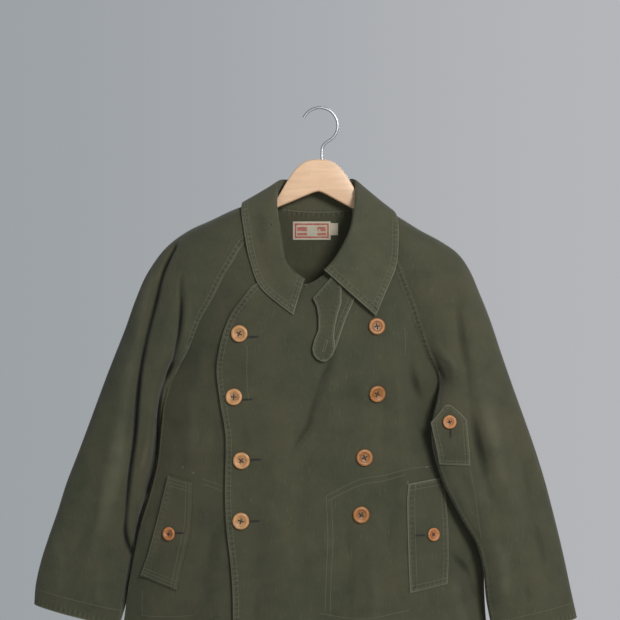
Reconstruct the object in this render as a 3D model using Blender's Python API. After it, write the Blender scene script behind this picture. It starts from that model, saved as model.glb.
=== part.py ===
"""Double-breasted canvas work jacket, hung on a wooden hanger.

Tables are in millimetres: x to the viewer's right, y away from the viewer, z up. The origin
is the inside top of the hanger's hook. "Left" and "right" in a name are the wearer's, so the
left sleeve is at +x.
"""
import math

import bpy
import numpy as np
from mathutils import Vector
from mathutils.bvhtree import BVHTree

MM = 0.001

# Cloth
CANVAS_WALL = 2.0
TAB_WALL = 2.2
SEAM_GAP = 0.3
LAYER_LIFT = 3.0          # outer face of the top front above that of the front under it
LIE_GAP = 0.6             # between a piece and the panel it lies on
LIE_SHARE = 0.75          # the part of that gap kept everywhere
NEARBY = 26.0             # a panel further behind a piece than this isn't the one it lies on

# Grid resolution
RAGLAN_ROWS = 8           # from the neckline to the armpit
SIDE_ROWS = 11            # from the armpit to the hem
TUBE_ROWS = 10            # from the armpit to the cuff
SLEEVE_AROUND = 22
BACK_COLUMNS = 14
UNDER_ONLY_COLUMNS = 5
OVERLAP_COLUMNS = 10
TOP_ONLY_COLUMNS = 6

# Body
HEM_Z = -905.0
HEM_DROP = 8.0
NECK_DIP = 90.0           # front neckline below the ends of the raglan seams
BACK_NECK_DIP = 4.0
NECK_LOW_POINT = 0.40     # where across the front the neckline is lowest
LEFT_ARMPIT_Z = -409.5
RIGHT_ARMPIT_Z = -396.0

# Hook and hanger
WIRE_DIAMETER = 4.0
HOOK_RADIUS = 27.0
WOOD_THICKNESS = 12.0
ARM_CLEARANCE = 1.2

# Buttons
LARGE_BUTTON = 25.0
SMALL_BUTTON = 20.0
BUTTON_THICKNESS = 4.4

# Sleeves, one row for each section: neckline first, armpit ninth, cuff last. Columns: x and z
# of the front raglan seam, or below the armpit of the inner edge; x and z of the outer edge;
# y of those two; how far the front and the back stand out; the angle left open to the body.
RIGHT_SLEEVE = (
    (-84.0, -175.5, -75.0, -144.0, 0.0, 0.0, 24.0, 20.0, 62.0),
    (-100.5, -192.0, -118.5, -148.5, 0.0, 0.0, 30.0, 22.0, 62.0),
    (-118.5, -210.0, -165.0, -169.0, 0.0, 0.0, 36.0, 23.0, 62.0),
    (-133.5, -235.5, -201.0, -186.0, 0.0, 0.0, 40.0, 24.0, 60.0),
    (-145.5, -255.0, -234.0, -211.5, 0.0, 0.0, 43.0, 24.0, 56.0),
    (-162.0, -288.0, -261.0, -249.0, -1.0, 0.0, 45.0, 24.0, 50.0),
    (-180.0, -319.5, -279.0, -289.5, -2.0, 0.0, 45.0, 24.0, 42.0),
    (-196.0, -357.0, -294.0, -331.5, -3.0, 0.0, 44.0, 24.0, 28.0),
    (-216.0, RIGHT_ARMPIT_Z, -307.5, -366.0, -4.0, 0.0, 42.0, 24.0, 0.0),
    (-233.0, -428.0, -324.0, -408.0, -3.0, 0.0, 38.0, 24.0, 0.0),
    (-237.6, -480.0, -343.0, -460.0, -2.0, -2.0, 34.0, 22.0, 0.0),
    (-242.4, -530.0, -363.0, -514.0, -2.0, -3.0, 31.0, 20.0, 0.0),
    (-253.4, -578.0, -383.0, -566.0, -2.0, -4.0, 29.0, 19.0, 0.0),
    (-266.8, -622.0, -399.0, -617.0, -2.0, -5.0, 28.0, 18.0, 0.0),
    (-277.9, -670.0, -416.0, -666.0, -2.0, -5.0, 26.0, 17.0, 0.0),
    (-288.2, -724.0, -428.0, -711.0, -2.0, -5.0, 25.0, 16.0, 0.0),
    (-304.0, -782.0, -432.0, -749.0, -4.0, -5.0, 25.0, 16.0, 0.0),
)
LEFT_SLEEVE = (
    (81.0, -175.5, 72.0, -144.0, 0.0, 0.0, 24.0, 20.0, 62.0),
    (91.5, -196.5, 108.0, -157.5, 0.0, 0.0, 30.0, 22.0, 62.0),
    (102.0, -219.0, 150.0, -183.0, 0.0, 0.0, 36.0, 23.0, 62.0),
    (114.0, -247.5, 181.5, -200.0, 0.0, 0.0, 40.0, 24.0, 60.0),
    (123.0, -271.5, 208.5, -219.0, 0.0, 0.0, 43.0, 24.0, 56.0),
    (136.0, -304.5, 226.5, -244.5, -1.0, 0.0, 45.0, 24.0, 50.0),
    (147.0, -337.5, 241.5, -279.0, -3.0, 0.0, 45.0, 24.0, 42.0),
    (160.0, -372.0, 256.5, -316.5, -6.0, 0.0, 44.0, 24.0, 28.0),
    (180.0, LEFT_ARMPIT_Z, 273.0, -366.0, -12.0, 0.0, 42.0, 22.0, 0.0),
    (175.0, -445.0, 289.0, -412.0, -36.0, 0.0, 34.0, 18.0, 0.0),
    (167.0, -487.0, 306.0, -460.0, -42.0, -2.0, 30.0, 22.0, 0.0),
    (175.0, -534.0, 323.0, -508.0, -42.0, -4.0, 27.0, 24.0, 0.0),
    (193.0, -580.0, 340.0, -563.0, -38.0, -6.0, 26.0, 22.0, 0.0),
    (220.0, -630.0, 354.0, -618.0, -30.0, -8.0, 26.0, 20.0, 0.0),
    (243.0, -672.0, 367.0, -672.0, -24.0, -10.0, 26.0, 18.0, 0.0),
    (248.5, -728.0, 377.0, -720.0, -22.0, -11.0, 25.0, 17.0, 0.0),
    (262.0, -797.0, 387.5, -768.0, -22.0, -12.0, 25.0, 17.0, 0.0),
)
# How far the back raglan seam lies from the front one at the neckline
RIGHT_BACK_SHIFT = (28.0, 24.5)
LEFT_BACK_SHIFT = (-27.0, 24.5)

# Side seams below the armpits: height, x and y of each
RIGHT_SIDE = (
    (RIGHT_ARMPIT_Z, -216.0, -4.0),
    (-432.0, -231.5, -9.0),
    (-480.0, -238.6, -14.0),
    (-530.0, -243.5, -14.0),
    (-578.0, -254.7, -14.0),
    (-622.0, -268.2, -14.0),
    (-670.0, -279.2, -13.0),
    (-724.0, -289.0, -11.0),
    (-780.0, -296.5, -9.0),
    (HEM_Z, -314.0, -8.0),
)
LEFT_SIDE = (
    (LEFT_ARMPIT_Z, 180.0, -12.0),
    (-432.0, 181.5, 0.0),
    (-455.0, 187.0, 7.0),
    (-514.0, 213.0, 8.0),
    (-600.0, 234.0, 8.0),
    (-672.0, 247.5, 8.0),
    (-754.0, 250.0, 7.0),
    (-830.0, 259.0, 5.0),
    (HEM_Z, 270.0, 3.0),
)
# Depth of the body at its middle: row (0 neckline, 1 armpit, 2 hem), front y and back y
BODY_DEPTH = (
    (0.0, -38.0, 20.0),
    (0.5, -54.0, 24.0),
    (1.0, -62.0, 26.0),
    (1.4, -66.0, 26.0),
    (1.7, -66.0, 26.0),
    (2.0, -62.0, 25.0),
)
FULLNESS = 3.0            # how flat the body's middle is across: 1 is a tent, 3 is nearly flat
BACK_WAVE = 4.5           # the back's hanging waves at the hem: height, spacing and slant
BACK_WAVE_SPACING = 118.0
BACK_WAVE_SLANT = 0.0012
# Free edge of the top front: height and x
TOP_FREE_EDGE = (
    (-243.0, -50.0),
    (-262.0, -92.0),
    (-277.0, -106.5),
    (-300.0, -125.0),
    (-319.5, -136.5),
    (-343.5, -144.5),
    (-366.0, -150.0),
    (-391.5, -153.0),
    (-439.5, -148.0),
    (-488.0, -140.0),
    (-571.5, -140.5),
    (-616.0, -139.0),
    (-705.0, -130.0),
    (-770.0, -128.5),
    (HEM_Z - 20.0, -126.0),
)
# Free edge of the front under it, hidden: height and x
UNDER_FREE_EDGE = (
    (-175.0, 58.0),
    (-230.0, 76.0),
    (-300.0, 100.0),
    (-400.0, 112.0),
    (HEM_Z, 106.0),
)
# Largest folds on the front side: start, middle and end (x, z), height and half width.
# A negative height is a trough.
FRONT_FOLDS = (
    ((-222.0, -218.0), (-252.0, -305.0), (-272.0, -425.0), -6.0, 15.0),
    ((-272.0, -425.0), (-280.0, -520.0), (-292.0, -640.0), -6.0, 15.0),
    ((15.0, -382.0), (-11.0, -454.0), (-30.0, -496.0), -3.5, 14.0),
    ((97.0, -357.0), (106.0, -450.0), (110.0, -545.0), 4.0, 18.0),
    ((62.0, -470.0), (70.0, -560.0), (64.0, -680.0), -3.0, 18.0),
    ((-60.0, -560.0), (-52.0, -700.0), (-66.0, -860.0), 3.5, 24.0),
    ((20.0, -640.0), (26.0, -760.0), (18.0, -890.0), -4.0, 24.0),
    ((150.0, -620.0), (162.0, -740.0), (158.0, -890.0), 3.5, 22.0),
    ((236.0, -300.0), (252.0, -370.0), (262.0, -450.0), -4.0, 15.0),
    ((292.0, -520.0), (310.0, -610.0), (318.0, -700.0), -4.0, 15.0),
    ((-196.0, -640.0), (-204.0, -760.0), (-210.0, -890.0), -4.0, 22.0),
)


def spline(table, at):
    """Values of a table at the keys in its first column, on a smooth curve through its rows."""
    table = np.asarray(table, float)
    keys = table[:, 0]
    values = table[:, 1:]
    order = np.argsort(keys)
    keys = keys[order]
    values = values[order]
    slopes = np.gradient(values, keys, axis=0)
    at = np.clip(np.atleast_1d(np.asarray(at, float)), keys[0], keys[-1])
    cell = np.clip(np.searchsorted(keys, at, side="right") - 1, 0, len(keys) - 2)
    span = (keys[cell + 1] - keys[cell])[:, None]
    s = ((at - keys[cell])[:, None]) / span
    return ((1 + 2 * s) * (1 - s) ** 2 * values[cell] + s * (1 - s) ** 2 * span * slopes[cell]
            + s * s * (3 - 2 * s) * values[cell + 1] + s * s * (s - 1) * span * slopes[cell + 1])


def smoothstep(low, high, value):
    s = np.clip((value - low) / (high - low), 0.0, 1.0)
    return s * s * (3 - 2 * s)


def unit(vectors):
    length = np.linalg.norm(vectors, axis=-1, keepdims=True)
    return vectors / np.maximum(length, 1e-9)


def fold_height(x, z, folds):
    """Height of the folds over a point: each is a soft ridge or trough along a bent line."""
    total = np.zeros(np.shape(x))
    point = np.stack([x, z], axis=-1)
    for start, middle, end, height, half_width in folds:
        nearest = np.full(np.shape(x), np.inf)
        place = np.zeros(np.shape(x))
        for part, (a, b) in enumerate(((start, middle), (middle, end))):
            a = np.asarray(a)
            run = np.asarray(b) - a
            s = np.clip(((point - a) @ run) / (run @ run), 0.0, 1.0)
            distance = np.linalg.norm(point - a - s[..., None] * run, axis=-1)
            closer = distance < nearest
            nearest = np.where(closer, distance, nearest)
            place = np.where(closer, (part + s) / 2, place)
        fade = np.sin(math.pi * (0.12 + 0.76 * place))
        total = total + height * fade * np.exp(-(nearest / half_width) ** 2)
    return total


def sleeve_grid(table, back_shift, rows, around=SLEEVE_AROUND):
    """Outer points of a raglan sleeve. Each row runs from the front seam (below the armpit,
    the inner edge) over the front, round the outer edge and along the back."""
    keyed = np.column_stack([np.linspace(0.0, 2.0, len(table)), np.asarray(table)])
    sections = spline(keyed, rows)
    half = around // 2
    step = np.arange(around + 1)
    on_front = step <= half
    grid = np.zeros((len(rows), around + 1, 3))
    for i, row in enumerate(rows):
        (front_x, front_z, outer_x, outer_z,
         inner_y, outer_y, front_depth, back_depth, opening) = sections[i]
        start = math.radians(max(opening, 0.0)) if row < 1.0 else 0.0
        shift = np.asarray(back_shift) * max(1.0 - row, 0.0)
        swept = np.where(on_front, step / half, (around - step) / half)
        angle = start + (math.pi - start) * swept
        first = (1 - math.cos(start)) / 2
        s = ((1 - np.cos(angle)) / 2 - first) / (1 - first)
        from_x = front_x + np.where(on_front, 0.0, shift[0])
        from_z = front_z + np.where(on_front, 0.0, shift[1])
        grid[i, :, 0] = from_x + (outer_x - from_x) * s
        grid[i, :, 2] = from_z + (outer_z - from_z) * s
        bulge = np.where(on_front, -front_depth, back_depth) * np.sin(angle)
        fade = np.where(on_front, np.sin(angle), 0.0) ** 0.7
        folds = fade * fold_height(grid[i, :, 0], grid[i, :, 2], FRONT_FOLDS)
        grid[i, :, 1] = inner_y + (outer_y - inner_y) * s + bulge - folds
    return grid


def edge_lines(side):
    """Edges of the front (side -1) or back (side 1), the one at -x first: rows of x, y, z."""
    column = 0 if side < 0 else -1
    raglan = np.linspace(0.0, 1.0, RAGLAN_ROWS + 1)
    seam_right = sleeve_grid(RIGHT_SLEEVE, RIGHT_BACK_SHIFT, raglan)[:, column]
    seam_left = sleeve_grid(LEFT_SLEEVE, LEFT_BACK_SHIFT, raglan)[:, column]
    down = np.linspace(0.0, 1.0, SIDE_ROWS + 1)[1:]
    lines = []
    for seam, table, armpit in ((seam_right, RIGHT_SIDE, RIGHT_ARMPIT_Z),
                                (seam_left, LEFT_SIDE, LEFT_ARMPIT_Z)):
        z = armpit + (HEM_Z - armpit) * down
        x, y = spline(table, z).T
        lines.append(np.concatenate([seam, np.column_stack([x, y, z])]))
    return lines


def body_rows():
    return np.concatenate([np.linspace(0.0, 1.0, RAGLAN_ROWS + 1),
                           1.0 + np.linspace(0.0, 1.0, SIDE_ROWS + 1)[1:]])


def neck_profile(u):
    """1 at the lowest point of the front neckline and 0 at its ends."""
    left = np.clip((NECK_LOW_POINT - u) / NECK_LOW_POINT, 0.0, 1.0)
    right = np.clip((u - NECK_LOW_POINT) / (1 - NECK_LOW_POINT), 0.0, 1.0)
    return np.where(u < NECK_LOW_POINT, 1 - left ** 2.2, 1 - right ** 1.3)


def body_point(u, row, first, last, side):
    """Points of the front (side -1) or back (side 1) at u across, between a row's two ends."""
    u = np.asarray(u, float)
    w = 2 * u - 1
    x = first[0] + (last[0] - first[0]) * u
    chord_y = first[1] + (last[1] - first[1]) * u
    chord_z = first[2] + (last[2] - first[2]) * u
    rise = max(1.0 - row, 0.0)
    if side < 0:
        dip = NECK_DIP * rise * neck_profile(u)
    else:
        dip = BACK_NECK_DIP * rise * (1 - w * w)
    drop = HEM_DROP * smoothstep(1.5, 2.0, row) * (1 - w * w)
    middle = spline(BODY_DEPTH, row)[0][0 if side < 0 else 1]
    full = 1 - np.abs(w) ** FULLNESS
    y = chord_y + (middle - (first[1] + last[1]) / 2) * full
    z = chord_z - dip - drop
    if side < 0:
        fade = 1.0 if row < 0.8 else full ** (0.7 * smoothstep(0.8, 1.0, row))
        y = y - fade * fold_height(x, z, FRONT_FOLDS)
    else:
        wave = BACK_WAVE * smoothstep(1.1, 2.0, row) * full
        y = y + wave * np.sin(2 * math.pi * (x / BACK_WAVE_SPACING + BACK_WAVE_SLANT * z))
    return np.stack([x, y, z], axis=-1)


def free_edge_u(row, first, last):
    """Where across a row the top front's free edge crosses it."""
    low, high = 0.0, 0.62
    for _ in range(40):
        u = (low + high) / 2
        x, _, z = body_point(u, row, first, last, -1)
        if x < spline(TOP_FREE_EDGE, z)[0][0]:
            low = u
        else:
            high = u
    return (low + high) / 2


def under_edge_u(first, last):
    x = spline(UNDER_FREE_EDGE, (first[2] + last[2]) / 2)[0][0]
    return (x - first[0]) / (last[0] - first[0])


def front_grids():
    """The front under and the front on top. Both are read at the same places where they
    overlap, so the layers stay parallel."""
    first_edge, last_edge = edge_lines(-1)
    under = []
    top = []
    first_top = UNDER_ONLY_COLUMNS
    last_under = UNDER_ONLY_COLUMNS + OVERLAP_COLUMNS
    columns = last_under + TOP_ONLY_COLUMNS
    lift = LAYER_LIFT * (1 - smoothstep(0.0, 2.5, np.arange(columns + 1) - last_under))
    for row, first, last in zip(body_rows(), first_edge, last_edge):
        edge = free_edge_u(row, first, last)
        hidden = under_edge_u(first, last)
        u = np.concatenate([np.linspace(0.0, edge, UNDER_ONLY_COLUMNS + 1)[:-1],
                            np.linspace(edge, hidden, OVERLAP_COLUMNS + 1)[:-1],
                            np.linspace(hidden, 1.0, TOP_ONLY_COLUMNS + 1)])
        points = body_point(u, row, first, last, -1)
        raised = points.copy()
        raised[:, 1] -= lift
        under.append(points[:last_under + 1])
        top.append(raised[first_top:])
    return np.array(under), np.array(top)


def back_grid():
    first_edge, last_edge = edge_lines(1)
    u = (1 - np.cos(np.linspace(0.0, math.pi, BACK_COLUMNS + 1))) / 2
    u = 0.5 * u + 0.5 * np.linspace(0.0, 1.0, BACK_COLUMNS + 1)
    return np.array([body_point(u, row, first, last, 1)
                     for row, first, last in zip(body_rows(), first_edge, last_edge)])


def grid_normals(grid, outward):
    down = np.gradient(grid, axis=0)
    across = np.gradient(grid, axis=1)
    return outward * unit(np.cross(down, across))


def narrowed(grid, gap=SEAM_GAP / 2):
    """The grid with each border drawn in by half a seam gap."""
    out = grid.copy()
    out[:, 0] += gap * unit(grid[:, 1] - grid[:, 0])
    out[:, -1] += gap * unit(grid[:, -2] - grid[:, -1])
    out[0] += gap * unit(grid[1] - grid[0])
    out[-1] += gap * unit(grid[-2] - grid[-1])
    return out


def share(normals_a, place_a, normals_b, place_b):
    """Two panels that meet take the same wall direction along their seam."""
    both = unit(normals_a[place_a] + normals_b[place_b])
    normals_a[place_a] = both
    normals_b[place_b] = both


# Pieces that lie on the panels: their edges as (x, z)
THROAT_TAB_EDGES = (
    ((19.5, -250.5), (14.5, -259.5), (-10.0, -287.0), (-4.0, -300.0), (-1.5, -315.0),
     (-1.5, -334.0), (-8.0, -350.0), (-10.8, -362.0), (-9.0, -371.0), (-3.5, -378.0),
     (3.0, -381.0)),
    ((34.5, -255.0), (31.5, -266.0), (30.8, -278.0), (30.8, -294.0), (26.0, -309.0),
     (22.0, -326.0), (19.8, -342.0), (21.2, -356.0), (20.0, -366.0), (15.5, -375.0),
     (9.0, -380.4)),
)
UNDERLAY_EDGES = (
    ((37.5, -259.5), (24.0, -289.5), (15.0, -319.5), (13.5, -349.5), (13.5, -370.0)),
    ((57.0, -267.0), (50.5, -288.0), (37.0, -319.0), (27.0, -349.0), (18.0, -372.0)),
)
RIGHT_FLAP_EDGES = (
    ((-227.0, -554.0), (-238.5, -601.5), (-249.5, -644.0), (-257.0, -672.0), (-268.5, -703.5)),
    ((-191.5, -562.5), (-192.0, -595.0), (-193.0, -627.0), (-204.0, -675.0), (-214.5, -722.5)),
)
LEFT_FLAP_EDGES = (
    ((132.0, -564.8), (130.0, -588.0), (131.0, -640.0), (132.5, -690.0), (134.4, -725.4)),
    ((185.0, -557.0), (188.0, -577.0), (191.5, -630.0), (192.0, -680.0), (190.2, -714.8)),
)
SLEEVE_TAB_EDGES = (
    ((187.0, -446.5), (176.0, -460.0), (165.5, -472.0), (170.0, -492.0), (174.5, -512.0),
     (178.5, -534.0)),
    ((194.5, -446.5), (206.0, -456.0), (217.5, -468.0), (219.5, -490.0), (221.5, -512.0),
     (223.0, -535.5)),
)
SLEEVE_TAB_REACH = 186.0   # the tab stays flat from here to the sleeve's inner edge

LARGE_BUTTONS = {
    "button_right": ((-120.0, -339.8), (-128.0, -434.2), (-116.7, -528.0), (-117.6, -617.4)),
    "button_left": ((84.3, -329.1), (84.3, -429.0), (65.7, -524.0), (60.6, -609.0)),
}
# Small buttons: place (x, z) and what carries each
SMALL_BUTTONS = {
    "button_pocket_right": ((-225.0, -639.0), "pocket_flap_right"),
    "button_pocket_left": ((168.9, -640.5), "pocket_flap_left"),
    "button_sleeve": ((192.6, -471.0), "sleeve_tab"),
}
# Turned outline of a button: part of its radius, part of its thickness
BUTTON_PROFILE = ((0.0, 0.70), (0.56, 0.72), (0.78, 1.0), (0.94, 0.86), (1.0, 0.5), (0.88, 0.0),
                  (0.0, 0.0))
BUTTON_SEGMENTS = 14

# Label on the inside of the back: left, right, top, bottom
NECK_LABEL = (-41.0, 16.2, -170.0, -197.5)
SIZE_TAB = (16.8, 27.5, -172.5, -190.5)
LABEL_WALL = 1.0

# Collar: place round the neck from -1, the end at the wearer's right, through the back to 1;
# then the top of the roll and the outer edge, x, y and z of each.
COLLAR_STATIONS = (
    (-1.00, -25.0, -52.0, -260.0, -40.0, -66.0, -311.0),
    (-0.88, -45.5, -52.0, -243.0, -67.5, -64.0, -290.0),
    (-0.76, -55.0, -48.0, -224.0, -90.0, -60.0, -268.0),
    (-0.64, -60.0, -42.0, -196.0, -103.0, -52.0, -236.0),
    (-0.54, -64.0, -32.0, -165.0, -112.0, -46.0, -198.0),
    (-0.45, -65.0, -16.0, -132.0, -117.0, -34.0, -158.0),
    (-0.38, -61.0, 2.0, -114.0, -116.0, 0.0, -141.0),
    (-0.28, -50.0, 17.0, -110.0, -98.0, 26.0, -164.0),
    (-0.14, -28.0, 22.0, -114.0, -54.0, 31.0, -186.0),
    (0.00, -3.0, 23.0, -117.0, -2.0, 32.0, -194.0),
    (0.14, 22.0, 22.0, -114.0, 50.0, 31.0, -188.0),
    (0.28, 42.0, 17.0, -110.0, 94.0, 26.0, -170.0),
    (0.38, 53.0, 2.0, -113.0, 111.0, 0.0, -154.5),
    (0.45, 54.0, -16.0, -132.0, 116.0, -28.0, -172.0),
    (0.54, 52.0, -32.0, -160.0, 117.0, -44.0, -203.0),
    (0.66, 47.5, -42.0, -184.0, 114.0, -52.0, -236.0),
    (0.78, 36.5, -48.0, -208.0, 106.0, -58.0, -258.0),
    (0.89, 22.0, -52.0, -232.0, 96.0, -64.0, -280.0),
    (1.00, 8.5, -54.0, -246.0, 82.5, -68.0, -312.0),
)
COLLAR_COLUMNS = 34
NECK_POINTS = 14           # read along each part of the neckline
NECK_STEP = 0.06           # and how far below it a panel's direction is read, in rows
COLLAR_ENDS = (-24.0, 8.5)  # x of its two ends on the neckline
UNDER_EDGE_FADE = (58.0, 68.0)  # x at the neckline where the top front comes down a layer
# Rows across the collar past the roll: part of the way to the outer edge
COLLAR_FALL = (0.3, 0.65, 1.0)
ROLL_RADIUS = 2.4          # inside the fold at the top of the stand
COLLAR_LIE = 2.4           # under face of the fall above the garment, at its edge
COLLAR_OVER_TABS = 5.4     # more than that over the throat tab and its underlay
COLLAR_TENTING = 5.0       # and more near the roll
COLLAR_SETTLES = 0.65      # part of the fall by which it has come down on the garment
COLLAR_FRONT = (0.40, 0.47)  # stations between which the collar comes to lie on the front
COLLAR_SEAM_RISE = 0.7

# Wooden hanger, its head from the middle outwards: distance from the middle and z of the top
HANGER_MIDDLE_X = -2.0
HANGER_HEAD = (
    (0.0, -76.3),
    (12.0, -77.1),
    (22.0, -80.6),
    (32.0, -88.2),
    (41.0, -99.0),
    (50.0, -113.0),
    (58.0, -126.5),
    (65.0, -137.5),
    (70.0, -147.0),
)
HANGER_APEX_Z = -123.5
APEX_ROUND = (1.4, 5.0)    # how much lower the underside's middle is, and over what width
ARM_HEIGHT_NEAR = 23.0
ARM_HEIGHT_END = 17.0
ARM_END = 201.0
ARM_TIP = 8.5              # rounded length past that
WOOD_CHAMFER = 2.6
STEM_BORE = 4.6
STEM_DEPTH = 12.0
STEM_X = 3.0
# Hook: the loop's ends in degrees from +x, and the bend below it, x and z
HOOK_LOOP = (155.0, -46.0)
HOOK_BEND = ((11.6, -49.4), (6.6, -53.6), (3.8, -58.0), (STEM_X, -64.0), (STEM_X, -72.0))


def clear_scene():
    for old in list(bpy.data.objects):
        bpy.data.objects.remove(old, do_unlink=True)


def material(name, colour, roughness, metallic=0.0):
    made = bpy.data.materials.new(name)
    made.use_nodes = True
    shader = made.node_tree.nodes["Principled BSDF"]
    shader.inputs["Base Color"].default_value = (*colour, 1.0)
    shader.inputs["Roughness"].default_value = roughness
    shader.inputs["Metallic"].default_value = metallic
    made.diffuse_color = (*colour, 1.0)
    return made


def solid(name, points, faces, look, sharp=35.0):
    """A closed mesh object, its faces turned outward whichever way they were listed."""
    points = np.asarray(points, float)
    volume = sum(float(np.dot(points[f[0]], np.cross(points[f[k]], points[f[k + 1]])))
                 for f in faces for k in range(1, len(f) - 1))
    if volume < 0:
        faces = [tuple(reversed(f)) for f in faces]
    mesh = bpy.data.meshes.new(name)
    mesh.from_pydata([tuple(p) for p in points * MM], [], faces)
    mesh.shade_smooth()
    mesh.set_sharp_from_angle(angle=math.radians(sharp))
    mesh.materials.append(look)
    made = bpy.data.objects.new(name, mesh)
    bpy.context.scene.collection.objects.link(made)
    return made


def wall(name, outer, normals, thickness, look):
    """A sheet with a wall: the outer grid, the same grid moved in, and the rim between."""
    rows, columns = outer.shape[:2]
    inner = outer - normals * thickness
    points = np.concatenate([outer.reshape(-1, 3), inner.reshape(-1, 3)])
    below = rows * columns

    def at(i, j, layer):
        return i * columns + j + layer * below

    faces = []
    for i in range(rows - 1):
        for j in range(columns - 1):
            a, b = at(i, j, 0), at(i + 1, j, 0)
            c, d = at(i + 1, j + 1, 0), at(i, j + 1, 0)
            faces += [(a, b, c), (a, c, d)]
            faces += [(c + below, b + below, a + below), (d + below, c + below, a + below)]
    rim = ([(i, 0) for i in range(rows)] + [(rows - 1, j) for j in range(1, columns)]
           + [(i, columns - 1) for i in range(rows - 2, -1, -1)]
           + [(0, j) for j in range(columns - 2, 0, -1)])
    for k, here in enumerate(rim):
        there = rim[(k + 1) % len(rim)]
        a, b = at(*here, 0), at(*there, 0)
        faces += [(b, a, a + below), (b, a + below, b + below)]
    return solid(name, points, faces, look)


def surface(grids):
    """A tree of the outer faces of some grids, to find what a point lies on. Each comes with
    1 if its columns run the way that turns its faces outward, or -1."""
    points = []
    faces = []
    for grid, outward in grids:
        grid = grid if outward > 0 else grid[:, ::-1]
        rows, columns = grid.shape[:2]
        start = len(points)
        points += [tuple(p) for p in grid.reshape(-1, 3)]
        for i in range(rows - 1):
            for j in range(columns - 1):
                a = start + i * columns + j
                faces += [(a, a + columns, a + columns + 1), (a, a + columns + 1, a + 1)]
    return BVHTree.FromPolygons(points, faces)


def seat_y(tree, x, z, start_y=-400.0):
    """Depth of the first surface met on a line along y, looking away from the viewer."""
    start = Vector((x, start_y, z))
    hit = tree.ray_cast(start, Vector((0.0, 1.0, 0.0)))
    return hit[0].y if hit[0] else None


def strip(edges, rows, columns):
    """Grid of (x, z) between two edge lines, each read at even steps along its length."""
    lines = []
    for edge in edges:
        edge = np.asarray(edge)
        length = np.concatenate([[0.0], np.cumsum(np.linalg.norm(np.diff(edge, axis=0), axis=1))])
        even = np.linspace(0.0, length[-1], rows + 1)
        lines.append(np.column_stack([np.interp(even, length, edge[:, k]) for k in (0, 1)]))
    s = np.linspace(0.0, 1.0, columns + 1)[None, :, None]
    return lines[0][:, None] * (1 - s) + lines[1][:, None] * s


def brought_forward(grid, tree, least):
    """The grid, its corners moved to the viewer where the surface behind it comes nearer than
    least anywhere between them."""
    forward = np.zeros(grid.shape[:2])
    parts = np.linspace(0.0, 1.0, 5)
    for i, j in np.ndindex(grid.shape[0] - 1, grid.shape[1] - 1):
        short = 0.0
        for s in parts:
            for t in parts:
                point = ((1 - s) * ((1 - t) * grid[i, j] + t * grid[i, j + 1])
                         + s * ((1 - t) * grid[i + 1, j] + t * grid[i + 1, j + 1]))
                met = seat_y(tree, point[0], point[2])
                if met is not None and abs(met - point[1]) < NEARBY:
                    short = max(short, point[1] - met + least)
        forward[i:i + 2, j:j + 2] = np.maximum(forward[i:i + 2, j:j + 2], short)
    moved = grid.copy()
    moved[..., 1] -= forward
    return moved


def lying(tree, places, rise, reach=None):
    """Seat a grid of (x, z) on a surface, a little out."""
    grid = np.zeros((*places.shape[:2], 3))
    for i, j in np.ndindex(places.shape[:2]):
        x, z = places[i, j]
        y = seat_y(tree, x if reach is None else max(x, reach), z)
        grid[i, j] = (x, y - rise, z)
    return brought_forward(grid, tree, rise * LIE_SHARE)


def lying_piece(name, tree, places, thickness, look, rise=LIE_GAP, reach=None):
    """A piece of cloth on a panel. Returns its outer points, for what lies on it in turn."""
    under = lying(tree, places, rise, reach)
    normals = grid_normals(under, 1.0)
    normals = unit(normals + normals.mean(axis=(0, 1)))
    outer = under + normals * thickness
    wall(name, outer, normals, thickness, look)
    return outer


def turned(name, profile, radius, thickness, segments, centre, axis, look):
    """A solid turned from a profile of (part of radius, part of thickness) about an axis."""
    axis = Vector(axis).normalized()
    turn = axis.to_track_quat("Z", "Y")
    points = []
    rings = []
    for part, height in profile:
        count = 1 if part == 0.0 else segments
        rings.append(range(len(points), len(points) + count))
        for k in range(count):
            angle = 2 * math.pi * k / segments
            local = Vector((math.cos(angle) * part * radius, math.sin(angle) * part * radius,
                            height * thickness))
            points.append(Vector(centre) + turn @ local)
    faces = []
    for a, b in zip(rings, rings[1:]):
        for k in range(segments):
            k2 = (k + 1) % segments
            if len(a) == 1:
                faces.append((a[0], b[k], b[k2]))
            elif len(b) == 1:
                faces.append((a[k2], a[k], b[0]))
            else:
                faces.append((a[k2], a[k], b[k], b[k2]))
    return solid(name, points, faces, look, sharp=50.0)


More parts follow.
